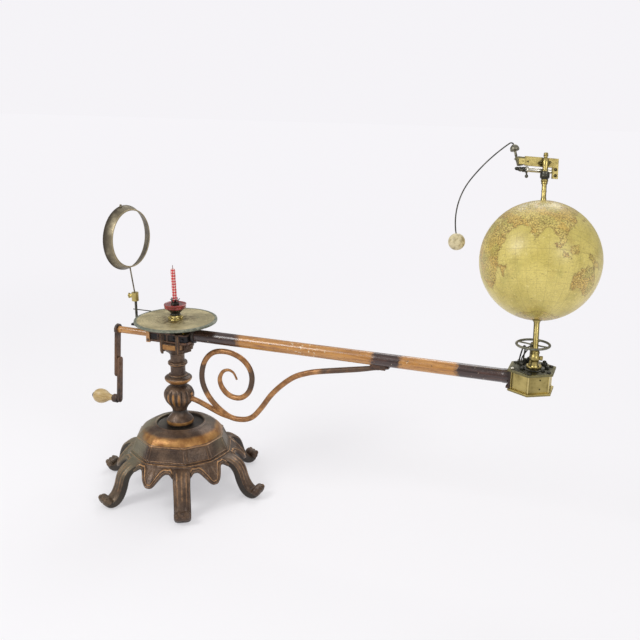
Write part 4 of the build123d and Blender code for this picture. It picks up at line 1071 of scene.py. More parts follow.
def arm():
    """The long varnished tube with the collar at its near end."""
    form = Form()
    profile = [(9.0, 30), (9.45, 30.6), (9.5, 36)]
    profile += [(9.5 + 0.05 * noise.noise(Vector((x * 0.05, 3.1, 0))), x) for x in range(42, 503, 3)]
    profile += [(9.5, 504.5), (9.9, 505.7), (10, 508.5), (9.9, 514.5), (9.4, 517.1), (7.6, 517.1), (7.6, 30)]
    lathe(form, profile, 72, looped=True, place=along_x(0, 0, ARM_HEIGHT))
    make("arm_visual", form, "arm_paint", "arm", ["arm_tube"])
    collar = Form()
    lathe(collar, [(9.4, 30.2), (11.6, 30.2), (12.2, 31), (12.2, 33.8), (11.4, 35), (9.4, 35.2)], 48,
          looped=True,
          place=along_x(0, 0, ARM_HEIGHT))
    make("arm_collars", collar, "frame_iron", "arm")


def scroll():
    """The forged bracket: a straight reach, an S-bend and a tapering spiral; its tie, clip and screws."""
    knots = [(330, 0, 243.4), (322, 0, 242.6), (300, 0, 237.9), (270, 0, 232.1), (240, 0, 226.2),
             (222, 0, 221.5), (200, 0, 212.4), (180, 0, 197.2), (161, 0, 177.6), (143, 0, 152.4),
             (128, 0, 135.9), (110.3, 0, 129.3), (88, 0, 131.2), (63, 0, 148.4), (47.6, 0, 169.4),
             (42.4, 0, 192), (48.6, 0, 217), (64.4, 0, 233.2), (88, 0, 237), (110.5, 0, 230.2),
             (124.6, 0, 216.4), (129.2, 0, 199), (124.4, 0, 179.2), (113.4, 0, 167.2), (100, 0, 164),
             (86.4, 0, 168.2), (76.6, 0, 179.2), (73.9, 0, 192), (79.6, 0, 203.8), (89.3, 0, 207.8),
             (98, 0, 204.2), (103.3, 0, 194.3)]
    path = smooth_line(knots, 6)

    def radius(t):
        taper = 1 - blend_steps(0.8, 1.0, t) * 0.62
        start = 0.72 + 0.28 * blend_steps(0.0, 0.08, t)
        return 4.2 * taper * start

    form = Form()
    tube(form, path, radius, 22)
    tie = smooth_line([(21, 0, 151.6), (34, 0, 148.4), (50, 0, 142.6), (66, 0, 136.4), (80, 0, 131.9),
                       (90, 0, 129.4)], 6)
    tube(form, tie, lambda t: 4.2 - 0.9 * blend_steps(0.7, 1, t) + 0.5 * blend_steps(0.12, 0, t), 20)
    make("scroll_visual", form, "scroll_iron", "arm", ["scroll_bracket"])
    clip = Form()
    for side in (-1, 1):
        block(clip, (318, side * 4.4 - 1.1, 242.6), (341, side * 4.4 + 1.1, 249.8), look=(0.3, 0, 0))
    block(clip, (322, -5.4, 245.4), (346, 5.4, 248.2), look=(0.2, 0, 0))
    slotted_screw(clip, 3.4, 2, at(341, 0, 245.4) @ turned(180, "X"))
    make("clip_visual", clip, "frame_iron", "arm", ["bracket_clip"], bevel=0.5)
    screw = Form()
    slotted_screw(screw, 3.0, 1.6, along_x(22.8, 0, 159))
    make("tie_screw", screw, "scroll_iron", "arm")


# ---------------------------------------------------------------- disc and candle

def disc():
    """The calendar disc: raised rim with a rolled edge, a sunk face and three engraved grooves."""
    profile = [(0, 276), (30, 276), (60, 276), (63, 276), (63.8, 276.4), (64, 277.2), (64, 279),
               (63.7, 279.7), (63, 280), (60.4, 280), (59.9, 279.85), (59.5, 279.5), (58.6, 279.42)]
    for edge in (55.6, 50.4, 33.8):
        profile += [(edge + 0.25, 279.42), (edge + 0.1, 279.3), (edge - 0.1, 279.3), (edge - 0.25, 279.42)]
    profile += [(22.4, 279.42), (22, 279.6), (21.4, 279.62), (14.6, 279.64), (14, 279.5), (0, 279.5)]
    form = Form()
    lathe(form, profile, 180)
    make("disc_visual", form, "disc_brass", "stand", ["calendar_disc"], sharp=30)


def candle_set():
    """The beaded brass gallery, dark pronged cup, red lobed pan and twisted candle."""
    form = Form()
    lathe(form, [(6.8, 279.7), (11, 279.7), (11.3, 280.3), (10.9, 281), (9.6, 281.2), (9.2, 283.6),
                 (9.6, 284.2), (9, 285), (8.6, 286.6), (7, 287), (6.8, 284)], 48, looped=True)
    for i in range(10):
        ball(form, (*polar(9.9, 36 * i), 282.4), (1.9, 1.9, 1.8), 12, look=(0.5, 0, 0))
    make("gallery_visual", form, "brass", "stand", ["candle_gallery"])

    form = Form()
    bowl = smooth_line([(8.6, 287.1), (7.4, 287.9), (7.0, 289), (7.8, 290.6), (9.8, 292.6), (11.8, 294.4),
                        (13, 295.4)], 4)
    lathe(form, [(0, 287)] + bowl + [(13.4, 296), (13.2, 296.5), (6.4, 296.6), (6.1, 300), (6.2, 305.4),
                                     (5.7, 306), (4.4, 306), (4.2, 303.6), (0, 303.6)], 48)
    prong = [(4.5, 0, 305), (4.7, 0, 307.6), (5.3, 0, 309.6), (6.6, 0, 311.6), (7.6, 0, 312.4)]

    def blade(t, angle):
        return (2.6 * (1 - t) ** 0.6 + 0.2) * math.cos(angle), 0.6 * math.sin(angle)

    for i in range(5):
        sweep(form, smooth_line(prong, 4), blade, 10, turned(20 + 72 * i))
    make("cup_visual", form, "dark_steel", "stand", ["candle_cup"])

    def lobed(angle, height):
        return 1 + 0.05 * blend_steps(297, 301, height) * abs(math.cos(angle * 3 + 0.4)) ** 1.5

    dish = smooth_line([(6.3, 296.6), (11, 296.5), (14.2, 296.8), (16.2, 297.8), (16.6, 299.2), (16.2, 300.6),
                        (16.6, 302), (16.9, 303)], 4)
    inside = smooth_line([(15.4, 303.6), (13.8, 303), (11.6, 302.6), (6.3, 302.4)], 4)
    rim = [(16.8, 303.8, 0.7), (16.2, 304.2, 0.9), (15.8, 304, 0.6)]
    profile = [(r, z, 0.15) for r, z in dish] + rim + inside
    form = Form()
    lathe(form, profile, 120, looped=True, swell=lobed)
    make("pan_visual", form, "red_enamel", "stand", ["drip_pan"])

    form = Form()
    profile = [(0, 0), (3.4, 0)] + [(3.55, z) for z in range(2, 53, 2)]
    profile += [(3.4, 53.6), (2.8, 54.8), (1.7, 55.4), (0.9, 55.2)]
    profile += [(0.5, 55.4), (0.5, 59), (0.42, 60.8), (0.1, 61.2)]
    lean = at(0.2, 0, 303.7) @ turned(-1.6, "Y")

    def twisted(angle, height):
        return 1 + (0.03 * math.cos(3 * angle + height * math.tau / 11.5) if height < 53 else 0)

    lathe(form, profile, 48, place=lean, swell=twisted)
    make("candle_visual", form, "candle_wax", "stand", ["candle"])


# ---------------------------------------------------------------- crank

CRANK_AXIS = at(0, 0, CRANK_HEIGHT) @ turned(-6.7, "X")


def slot_outline(top, bottom, width):
    """A round-ended bar as an outline of (across, height)."""
    out = []
    for centre, start in ((bottom, 180), (top, 0)):
        for i in range(13):
            across, up = polar(width / 2, start + 15 * i)
            out.append((across, centre + up))
    return out


def bar_place(x):
    """Turns an outline drawn in XY into the crank's plane, starting at x."""
    return CRANK_AXIS @ Matrix(((0, 0, 1, x), (1, 0, 0, 0), (0, 1, 0, 0), (0, 0, 0, 1)))


def crank():
    """The crank: shaft, two lapped bars with rivets, forged eye, pin and turned wooden handle."""
    form = Form()
    shaft = [(3.4, -111), (3.5, -105.6), (5.3, -105.4), (5.35, -104), (5.3, -60), (5.3, -43.4), (4.9, -42.3),
             (4, -42.2), (4, -10)]
    lathe(form, shaft, 40, place=along_x(0, 0, CRANK_HEIGHT))
    make("crank_shaft_visual", form, "arm_paint", "crank", ["crank_shaft"])
    form = Form()
    prism(form, slot_outline(-6, -72, 12), 0, 4.6, bar_place(-110.3))
    lathe(form, [(0, 0), (8.2, 0), (9.2, 0.9), (9.2, 4.2), (8.2, 5.4), (5, 5.4), (3.8, 6.6), (0, 6.8)], 10,
          place=CRANK_AXIS @ along_x(-104.6, flip=True))
    make("crank_upper_visual", form, "rusty_iron", "crank", ["crank_upper_bar"], bevel=0.9)
    form = Form()
    prism(form, slot_outline(-50, -115, 11), 0, 4.6, bar_place(-105.7))
    make("crank_lower_visual", form, "rusty_iron", "crank", ["crank_lower_bar"], bevel=0.9)
    form = Form()
    for z in (-56, -68):
        for x, flip in ((-110.2, True), (-101.2, False)):
            lathe(form, [(0, -0.4), (3, -0.4), (3, 0.2), (2.2, 0.9), (0, 1.15)], 16,
                  place=CRANK_AXIS @ along_x(x, 0, z, flip))
    make("rivets_visual", form, "rusty_iron", "crank", ["crank_rivets"])
    end = CRANK_AXIS @ at(0, 0, -115)
    form = Form()
    lathe(form, [(0, -0.6), (3, -0.6), (3, 4.2), (6, 4.6), (6.9, 5.6), (7, 8), (6.4, 10), (6.9, 11),
                 (6.6, 13.6), (5.4, 14.6), (2.6, 14.8), (2.6, 51.4), (4.2, 51.6), (4.4, 52.2), (4, 53),
                 (2.4, 53.6), (0, 53.7)], 32,
          place=end @ along_x(-101.1, flip=True))
    make("handle_pin_visual", form, "rusty_iron", "crank", ["handle_pin"])
    form = Form()
    outer = smooth_line([(5.2, 0.2), (4.9, 2), (4.9, 4.6), (6.2, 8.4), (8.8, 13), (10.9, 17.6), (11.8, 22.4),
                         (11.5, 27), (9.8, 31.4), (7.2, 34.4), (4.8, 35.6)],
                        5)
    lathe(form, [(2.66, 0.2)] + outer + [(2.66, 35.8)], 64, looped=True,
          place=end @ along_x(-116.0, flip=True))
    make("handle_visual", form, "handle_wood", "handle", ["crank_handle"])


# ---------------------------------------------------------------- globe

GLOBE = at(536.7, 41.7, 408.9) @ turned(100) @ turned(23.5, "Y")
GLOBE_RADIUS = 80.0
SHELL_INSIDE = 77
POLAR_HOLE = 5.7
SPINDLE_AXIS = GLOBE.to_3x3() @ Vector((0, 0, 1))
MOON_HEAD = GLOBE @ turned(-79)
MAP_TURN = -94

# Coasts as (longitude, latitude), coarse on purpose; the material roughens them.
LANDS = (
    ((-168, 66), (-156, 71), (-128, 70), (-95, 68), (-82, 70), (-78, 62), (-92, 58), (-82, 52), (-76, 62),
     (-64, 58), (-56, 52), (-66, 45), (-76, 36), (-81, 26), (-84, 30), (-97, 27), (-96, 18), (-88, 21),
     (-83, 10), (-78, 8), (-92, 14), (-105, 20), (-112, 30), (-122, 36), (-125, 48), (-140, 60), (-158, 57)),
    ((-78, 8), (-62, 10), (-50, 1), (-35, -7), (-39, -18), (-48, -26), (-58, -38), (-66, -46), (-69, -54),
     (-74, -48), (-71, -30), (-76, -14), (-81, -4)),
    ((-52, 82), (-22, 80), (-22, 70), (-43, 60), (-54, 68), (-60, 76)),
    ((-9, 43), (-1, 46), (3, 51), (8, 57), (12, 55), (20, 58), (24, 65), (17, 60), (6, 60), (14, 68),
     (28, 71), (44, 67), (70, 72), (104, 77), (140, 72), (178, 68), (164, 60), (156, 52), (142, 54),
     (130, 42), (121, 39), (121, 30), (108, 20), (105, 9), (102, 3), (98, 12), (90, 22), (80, 14), (77, 8),
     (72, 20), (58, 25), (50, 28), (58, 22), (44, 13), (36, 28), (35, 36), (26, 38), (22, 37), (14, 45),
     (18, 40), (9, 44), (3, 42), (-2, 37), (-9, 37)),
    ((-16, 15), (-16, 22), (-6, 35), (10, 37), (20, 31), (32, 31), (43, 11), (51, 11), (40, -4), (38, -18),
     (32, -28), (20, -35), (12, -18), (9, 2), (-8, 5)),
    ((114, -22), (122, -17), (131, -12), (137, -12), (142, -11), (147, -20), (153, -27), (150, -37),
     (141, -38), (132, -32), (118, -35)),
    ((96, 5), (104, -3), (114, -8), (106, -6)), ((109, 2), (117, 6), (117, -3), (111, -3)),
    ((132, -1), (145, -5), (150, -10), (138, -8)),
    ((130, 32), (138, 36), (144, 44), (140, 38), (133, 34)), ((-6, 50), (1, 52), (-4, 58), (-5, 54)),
    ((44, -16), (50, -15), (45, -25)),
    ((167, -46), (174, -41), (178, -38), (172, -44)), ((-24, 65), (-14, 66), (-18, 63)),
    ((-180, -90), (-180, -72), (-60, -66), (0, -70), (90, -66), (180, -72), (180, -90)),
)


def coast_distance(lon, lat):
    """Signed distance to the nearest coast in degrees, positive on land."""
    best, inside = 60.0, False
    shrink = max(math.cos(math.radians(lat)), 0.08)
    for land in LANDS:
        count = len(land)
        for i in range(count):
            (ax, ay), (bx, by) = land[i], land[(i + 1) % count]
            if (ay > lat) != (by > lat) and lon < (bx - ax) * (lat - ay) / (by - ay) + ax:
                inside = not inside
            ux, uy, px, py = (bx - ax) * shrink, by - ay, (lon - ax) * shrink, lat - ay
            t = min(max((ux * px + uy * py) / (ux * ux + uy * uy + 1e-9), 0), 1)
            best = min(best, math.hypot(px - ux * t, py - uy * t))
    return best if inside else -best


def half_globe(name, node, sign):
    """One half of the globe's shell, with a polar hole, its map place and its distance from the coast."""
    across, down = 240, 60
    form, where, coast = Form(), [], []
    start = math.degrees(math.acos(POLAR_HOLE / GLOBE_RADIUS))
    for row in range(down + 1):
        lat = sign * start * row / down
        ring = GLOBE_RADIUS + 0.12 * (1 - min(row / 1.5, 1))
        for i in range(across):
            lon = -180 + 360 * i / across
            from_axis, height = polar(1, lat)
            unit = Vector((*polar(from_axis, lon), height))
            uneven = 0.25 * noise.noise(unit * 2.3) - 0.25
            form.points.append(GLOBE @ (unit * (ring + uneven - 0.02 * (row == 0))))
            form.looks.append((0, 0, 0))
            place = (lon + MAP_TURN + 180) % 360 - 180
            where.append(turned(MAP_TURN) @ unit)
            coast.append(coast_distance(place, lat))
    inside = ((POLAR_HOLE, math.sqrt(SHELL_INSIDE ** 2 - POLAR_HOLE ** 2)),
              (SHELL_INSIDE * 0.71, SHELL_INSIDE * 0.7), (SHELL_INSIDE, 0))
    for r, z in inside:
        for i in range(across):
            lon = -180 + 360 * i / across
            form.points.append(GLOBE @ Vector((*polar(r, lon), sign * z)))
            form.looks.append((0, 0, 0))
            where.append(Vector((*polar(1, lon), 0)))
            coast.append(-20)
    faces = rings_to_faces(down + 4, across, True)
    form.faces = faces if sign > 0 else [tuple(reversed(f)) for f in faces]
    obj = make(name, form, "globe_paper", "globe", [node], sharp=60)
    layer = obj.data.attributes.new("globe_place", "FLOAT_VECTOR", "POINT")
    layer.data.foreach_set("vector", [v for unit in where for v in unit])
    layer = obj.data.attributes.new("coast", "FLOAT", "POINT")
    layer.data.foreach_set("value", coast)


def globe():
    """Both halves of the shell, and the brass core that shows at the poles."""
    half_globe("globe_north_visual", "globe_north", 1)
    half_globe("globe_south_visual", "globe_south", -1)
    form = Form()
    lathe(form, [(3.9, -80.5), (5.6, -80.4), (6.2, -80.0), (5.2, -79.7), (5.2, 79.7), (6.2, 80.0),
                 (5.6, 80.4), (3.9, 80.5)], 48, looped=True,
          place=GLOBE, look=(0, 0, 0.5))
    make("core_visual", form, "brass", "globe", ["globe_core"])


# ---------------------------------------------------------------- gearbox and carrier

def paint_flank_reflection(form, axis=(0, 0, 1)):
    """Paints a dark reflection on the flanks of a form that turn away from the light, so that a polished rod
    shows its dark edges.
    """
    spine = Vector(axis)
    facing = Vector((*polar(1, LIGHT_TURN), 0.2)).normalized()
    middle = sum(form.points, Vector()) / len(form.points)
    for k, point in enumerate(form.points):
        away = point - middle
        away = (away - spine * away.dot(spine)).normalized()
        flank_reflection = blend_steps(0.86, 0.5, away.dot(facing)) * 0.8
        wear_and_sheen, copper_and_sheen, dirt_and_shade = form.looks[k]
        form.looks[k] = (wear_and_sheen, copper_and_sheen, max(dirt_and_shade, flank_reflection))


def box_corner(radius, i):
    """The i-th of six places round the gearbox's middle."""
    x, y = polar(radius, 60 * i + 30)
    return GEARBOX_X + x, y


def gearbox():
    """The hexagonal brass box with its plates, screws, studs, looped click spring and the arm's flange."""
    shell = Form()
    for i in range(6):
        place = at(GEARBOX_X, 0, 0) @ turned(60 * i + 60)
        flat = 28.5 * math.cos(math.radians(30))
        # face_shade: painted shade on the face at i == 4, a little wear on the others.
        face_shade = (0.1, 0, 0.3) if i == 4 else (0.15, 0, 0.05)
        block(shell, (flat - 2.2, -13.4, 245.4), (flat - 0.25, 13.4, 270.2), place, face_shade)
        block(shell, (flat - 1.2, -12.0, 247.2), (flat, 12.0, 268.4), place, face_shade)
        # The bright corner posts are a painted highlight down each corner of the hexagon.
        post = at(*box_corner(28.2, i + 1), 0)
        lathe(shell, [(0.9, 245.4), (0.9, 270.2)], 10, place=post, look=(0.9, 0, 0))
        # Two flat dark discs of painted shade stand for the holes in two faces.
        if i in (1, 4):
            for z in (251.5, 264):
                lathe(shell, [(0, 0), (1.15, 0), (1.15, 0.3), (0, 0.3)], 14,
                      place=place @ along_x(flat - 0.05, 2.0, z), look=(0, 0, 1))
    make("gearbox_shell_visual", shell, "brass", "arm", ["gearbox_shell"], bevel=0.35)
    for corner, low, high, name in ((32.5, 242.5, 245.5, "gearbox_floor"), (34, 270, 273, "gearbox_cover")):
        form = Form()
        rows = [(corner - 0.5, low), (corner, low + 0.5), (corner, high - 0.5), (corner - 0.5, high),
                (corner * 0.78, high), (0.6, high), (0.6, low)]
        points = [(*box_corner(r, i), z) for r, z in rows for i in range(6)]
        # Painted shade along the floor's lower edge and toward the middle of each plate.
        under = 0.8 if name == "gearbox_floor" else 0
        looks = [(0.2, 0, under)] * 12 + [(0.2, 0, under * 0.45)] * 6
        looks += [(0.15, 0, 0)] * 6 + [(0, 0, 0.5)] * 6 + [(0, 0, 0.9)] * 12
        form.add(points, rings_to_faces(7, 6, True), looks)
        look = "brass" if name == "gearbox_floor" else "dark_brass"
        make(name + "_visual", form, look, "arm", [name], sharp=25)

    form = Form()
    for i in range(6):
        if i != 3:
            slotted_screw(form, 2.7, 1.9, at(*box_corner(27, i), COVER_TOP) @ turned(37 * i))
    for x, y in ((556, 15), (534.5, 23)):
        lathe(form, [(4.3, 0), (4.3, 3.2), (3.6, 4.2), (2.5, 4.5), (2.5, 6.2), (1.8, 6.7), (0, 6.8)], 24,
              place=at(x, y, COVER_TOP))
    for x, y, r in ((530.5, -9.5, 3.1), (528, 5.5, 3.4), (557, -8.5, 3.0), (561.5, 3.5, 2.6)):
        lathe(form, [(r, 272.9), (r, 275.4), (r * 0.75, 276.4), (0, 276.6)], 6, place=at(x, y, 0))
    lathe(form, [(5, 272.9), (15, 272.9), (15.2, 273.6), (14.6, 274.3), (5, 274.4)], 56, looped=True,
          place=FLANGE_AXIS)
    make("cover_screws_visual", form, "dark_steel", "arm", ["cover_screws"], bevel=0.25)
    form = Form()
    slotted_screw(form, 2.9, 2.2, at(*box_corner(27, 3), COVER_TOP))
    make("bright_screw", form, "nickel", "arm", bevel=0.25)

    form = Form()
    block(form, (520.6, 11.6, 273), (532.4, 18.4, 276.4), look=(0.2, 0, 0))
    lathe(form, [(2.3, 276.2), (2.3, 279.4), (1.5, 280.2), (0, 280.3)], 16, place=at(531, 15, 0))
    wire = smooth_line([(522.6, 15, 275), (523.8, 15, 283), (525.4, 15, 290.5), (526.5, 15, 294.6),
                        (527.6, 15, 297), (528.9, 15, 297.2), (529.6, 15, 295.2), (529.2, 15, 290),
                        (528.4, 15, 283), (528.6, 15, 275)], 6)
    tube(form, wire, 1.05, 12)
    wire = smooth_line([(525.6, 16.6, 275), (526.4, 16.6, 281), (530.6, 16.4, 288.8), (533, 16.2, 293.4),
                        (531, 15.4, 295.6)], 6)
    tube(form, wire, 0.85, 12)
    make("spring_visual", form, "dark_steel", "arm", ["detent_spring"], bevel=0.3)

    form = Form()
    block(form, (514.3, -17.6, 246.2), (517.3, 15.5, 269.8), look=(0.15, 0, 0.3))
    block(form, (511.6, -17.4, 246.2), (515, -9, 249.2), look=(0.3, 0, 0.2))
    for y in (-14, 11):
        for z in (249.4, 266):
            slotted_screw(form, 2.5, 2.0, along_x(514.4, y, z, True), hex_head=True)
    make("arm_flange", form, "frame_iron", "arm", bevel=0.4)


def carrier():
    """What turns on the gearbox: arbor flange, spindle boss, handwheel on its post, globe's spindle."""
    form = Form()
    lathe(form, [(4, 244.3), (4, 274.4)], 24, place=at(GEARBOX_X, 0, 0))
    lathe(form, [(3.9, 274.5), (9.2, 274.5), (10, 275), (10.1, 276.2), (9.6, 277), (3.9, 277)], 48,
          looped=True,
          place=FLANGE_AXIS)
    make("arbor_visual", form, "brass", "carrier", ["carrier_arbor"])

    form = Form()
    knuckle = GLOBE @ Vector((0, 0, -129))
    base = at(knuckle.x - 0.2, knuckle.y + 2.6, 0)
    lathe(form, [(0, 277), (6.2, 277), (6.6, 277.6), (5.4, 279), (5.0, 280.6), (4.9, 286.6), (5.5, 287.6),
                 (0, 288)], 40, place=base)
    grip = [(0, -135), (3.8, -134.4), (5.9, -132.4), (6.5, -129.6), (6.2, -127.2), (5.4, -125.4),
            (5.3, -124.4), (6.0, -123.8), (6.1, -121.6), (5.4, -120.4), (4.4, -119.4), (3.9, -119.2)]
    lathe(form, grip, 40, place=GLOBE)
    paint_flank_reflection(form)
    lathe(form, [(2.2, 4.6), (2.2, 6.4), (3.1, 6.8), (3.1, 9.6), (2.4, 10.2), (0, 10.3)], 18,
          place=along_x(*knuckle))
    make("boss_visual", form, "brass", "carrier", ["spindle_boss"])

    form = Form()
    post = [(4.2, 277), (4.2, 278.6), (3.6, 279.6), (3.6, 284), (4.0, 285), (4.0, 287), (3.6, 288),
            (3.5, 298.4), (3.9, 299.2), (3.9, 300.8), (2, 301.2), (2, 305.4), (3, 305.6), (3, 306.5),
            (0, 306.7)]
    lathe(form, post, 32, place=WHEEL_AXIS)
    paint_flank_reflection(form)
    make("wheel_post_visual", form, "brass", "carrier", ["wheel_post"])

    form = Form()
    wheel = WHEEL_AXIS @ at(0, 0, 304)
    # The top of the rim gets a painted highlight.
    rim = [(21.5 + 1.75 * math.cos(math.radians(a)), 1.6 * math.sin(math.radians(a)), 0.4 * (a in (60, 90)),
            0, 0) for a in range(0, 360, 30)]
    lathe(form, rim, 96, looped=True, place=wheel)
    for i in range(4):
        spoke = smooth_line([(3, 0, -0.6), (8, 0, -0.2), (14, 0, -0.2), (20.4, 0, 0)], 4)
        sweep(form, spoke, lambda t, a: ((1.8 - 0.7 * hit(0.5, 0.5, t)) * math.cos(a), 1.0 * math.sin(a)), 14,
              wheel @ turned(90 * i - 17), up=(0, 1, 0))
    lathe(form, [(2.1, -3), (3.6, -3), (3.9, -1.4), (3.9, 0.4), (3.2, 1.4), (2.1, 1.5)], 32, looped=True,
          place=wheel)
    make("wheel_visual", form, "wheel_steel", "carrier", ["hand_wheel"], slot="dark_steel")

    form = Form()
    rod = [(3.8, -126), (3.8, -90), (3.8, -84.2), (4.1, -82.6), (4.7, -81.2), (4.9, -80.4), (3.8, -80.2)]
    rod += [(3.8, z) for z in range(-80, 81, 8)]
    rod += [(3.8, 83.4), (3.7, 84.6), (3.3, 86), (3.2, 88), (3.2, 94), (3.5, 94.4), (3.5, 95.6), (3.2, 96),
            (3.2, 108.9), (2.5, 109), (2.5, 117.4)]
    lathe(form, rod, 32, place=GLOBE)
    paint_flank_reflection(form, SPINDLE_AXIS)
    make("spindle_visual", form, "brass", "carrier", ["globe_spindle"])


# ---------------------------------------------------------------- moon's head

def moon_head():
    """The moon's head: collar, bottle-shaped post, side plate, nickel tube, end cluster, block and knob."""
    form = Form()
    lathe(form, [(3.3, 109.1), (3.9, 109.2), (4.6, 111.4), (5.4, 113), (6.3, 113.6), (6.4, 116), (6.1, 116.6),
                 (6.4, 117.2), (6.3, 120.4), (5.6, 121), (2.6, 121)], 36, place=MOON_HEAD)
    make("collar_visual", form, "dark_steel", "moon_head", ["moon_collar"])
    form = Form()
    lathe(form, [(3.3, 104.6), (4.2, 105), (4.3, 106.8), (3.8, 107.4), (4.6, 108), (5, 109.6), (4.4, 110.6),
                 (3.3, 110.8)], 36, looped=True,
          place=MOON_HEAD)
    paint_flank_reflection(form, SPINDLE_AXIS)
    make("collar_ring", form, "brass", "moon_head")

    form = Form()
    bottle = smooth_line([(3.0, 121), (3.6, 122.4), (3.5, 125), (4.0, 129), (4.5, 133), (4.5, 136),
                          (3.8, 139.2), (2.5, 141.2), (2.3, 142.4), (2.4, 143.2)], 4)
    lathe(form, bottle + [(3.2, 143.4), (3.4, 144), (3.0, 144.6), (3.0, 147), (2.6, 148), (0, 148.2)], 36,
          place=MOON_HEAD,
          swell=lambda a, z: 1 - 0.04 * (z > 144.4) * abs(math.sin(8 * a)))
    block(form, (-6.6, 0.6, 132.4), (6.6, 4.6, 137.4), MOON_HEAD, (0, 0, 0.55))
    paint_flank_reflection(form, SPINDLE_AXIS)
    for side in (-1, 1):
        place = MOON_HEAD @ at(side * 6.2, 1.6, 135.6) @ turned(90, "X")
        lathe(form, [(1.9, 0), (1.9, 1.6), (1.2, 2.2), (0, 2.3)], 16, place=place, look=(0, 0, 0.9))
    make("bottle_visual", form, "brass", "moon_head", ["moon_post"], bevel=0.3)

    form = Form()
    near, far = 4.6, 6.4
    outline = [(-27, 130), (11, 130), (11, 115), (19, 115), (19, 143), (-27, 143)]
    place = MOON_HEAD @ UPRIGHT
    prism(form, outline, near, far, place, (0, 0, 0.22))
    block(form, (10.4, near - 0.5, 114.8), (12.2, far, 131), MOON_HEAD, (0, 0, 0.6))
    # Each hole is a shallow dish of painted shade with a worn rim.
    for x, z, radius in ((15.4, 127.3, 2.1), (15.4, 119, 2.1), (-22.5, 135.5, 1.0)):
        hole = [(0.01, 0), (radius * 0.75, 0.05), (radius, 0.25)]
        hole += [(radius + 0.5, 0.1, 0.6), (radius + 0.6, -0.1, 0.6)]
        lathe(form, hole, 18, place=MOON_HEAD @ at(x, near - 0.02, z) @ turned(90, "X"), look=(0, 0, 1))
    make("plate_visual", form, "brass", "moon_head", ["moon_plate"], bevel=0.25)

    tube_y, tube_z = 8.1, 125.2
    form = Form()
    pipe = [(0, -21.2), (2.9, -21.2), (3.1, -20.6), (3.1, -8), (3.25, -7.8), (3.25, -7), (3.1, -6.8),
            (3.1, 10.2), (2.6, 10.6), (0, 10.6)]
    lathe(form, pipe, 32, place=MOON_HEAD @ along_x(0, tube_y, tube_z))
    make("tube_visual", form, "nickel", "moon_head", ["moon_tube"])
    form = Form()
    lathe(form, [(2.8, -25.2), (4.2, -25), (4.8, -24), (4.8, -22), (4.2, -21), (2.8, -20.8)], 30, looped=True,
          place=MOON_HEAD @ along_x(0, tube_y, tube_z))
    make("ring_nut", form, "nickel", "moon_head")
    form = Form()
    lathe(form, [(0, -34), (2.2, -34), (3, -33.2), (3.4, -31), (2.6, -29.8), (3.6, -28.6), (3.6, -26),
                 (3, -25), (0, -24.8)], 24,
          place=MOON_HEAD @ along_x(0, tube_y, tube_z))
    ball(form, (-35.6, tube_y, tube_z + 0.4), (3.8, 1.5, 2.6), 18, MOON_HEAD)
    ball(form, (-30.6, tube_y - 3.6, tube_z - 1.8), (3.1, 1.3, 1.7), 16, MOON_HEAD)
    tube(form, [(-25.4, tube_y - 2, tube_z + 0.5), (-24, tube_y - 3, tube_z - 4),
                (-23.2, tube_y - 3, tube_z - 8.6)], 1.15, 12, MOON_HEAD)
    ball(form, (-23.4, tube_y - 3, tube_z - 10.0), (2.4, 2.2, 2.5), 18, MOON_HEAD)
    for x in (-33.4, -28.4):
        place = MOON_HEAD @ at(x, tube_y - 3, tube_z + 0.6) @ turned(90, "X")
        slotted_screw(form, 1.5, 1.2, place)
    make("fasteners_visual", form, "dark_steel", "moon_head", ["moon_fasteners"], bevel=0.2)

    form = Form()
    outline = [(-41, 138.6), (-36.4, 141.2), (-25.6, 140.9), (-30.4, 138.2), (-27.4, 131), (-33.5, 129.3),
               (-36.4, 129.6), (-38.2, 136.4)]
    prism(form, outline, 2.2, 8.9, MOON_HEAD @ UPRIGHT, (0.15, 0, 0.2))
    make("end_block_visual", form, "dark_brass", "moon_head", ["end_block"], bevel=0.4)
    form = Form()
    block(form, (-35.4, 1.5, 130.4), (-27.6, 2.4, 138.4), MOON_HEAD, (0.1, 0, 0.1))
    # A dark disc of painted shade stands for a hole.
    lathe(form, [(0, 0), (0.9, 0), (0.9, 0.3), (0, 0.3)], 14,
          place=MOON_HEAD @ at(-30, 1.55, 134.6) @ turned(90, "X"), look=(0, 0, 1))
    make("end_face", form, "brass", "moon_head", bevel=0.3)

    stem = MOON_HEAD @ at(-36.5, 5.5, 133.5) @ turned(-15, "Y")
    form = Form()
    bell = [(1.6, 0.4), (1.6, 9), (2, 9.6), (1.7, 10.4), (1.7, 15.6), (2.4, 16.2)]
    # Painted shade under the bell's lip.
    bell += [(5.2, 16.4, 0, 0, 0.8), (6, 16.9, 0.2, 0, 0), (6.3, 18.2, 0.5, 0, 0), (6.1, 20, 0.4, 0, 0),
             (5.3, 22, 0.3, 0, 0), (3.8, 23.8, 0.4, 0, 0), (2, 25, 0.2, 0, 0), (0, 25.4, 0, 0, 0.3)]
    lathe(form, bell, 36, place=stem)
    make("knob_visual", form, "knob_metal", "moon", ["moon_knob"], slot="dark_brass")


# ---------------------------------------------------------------- reflector

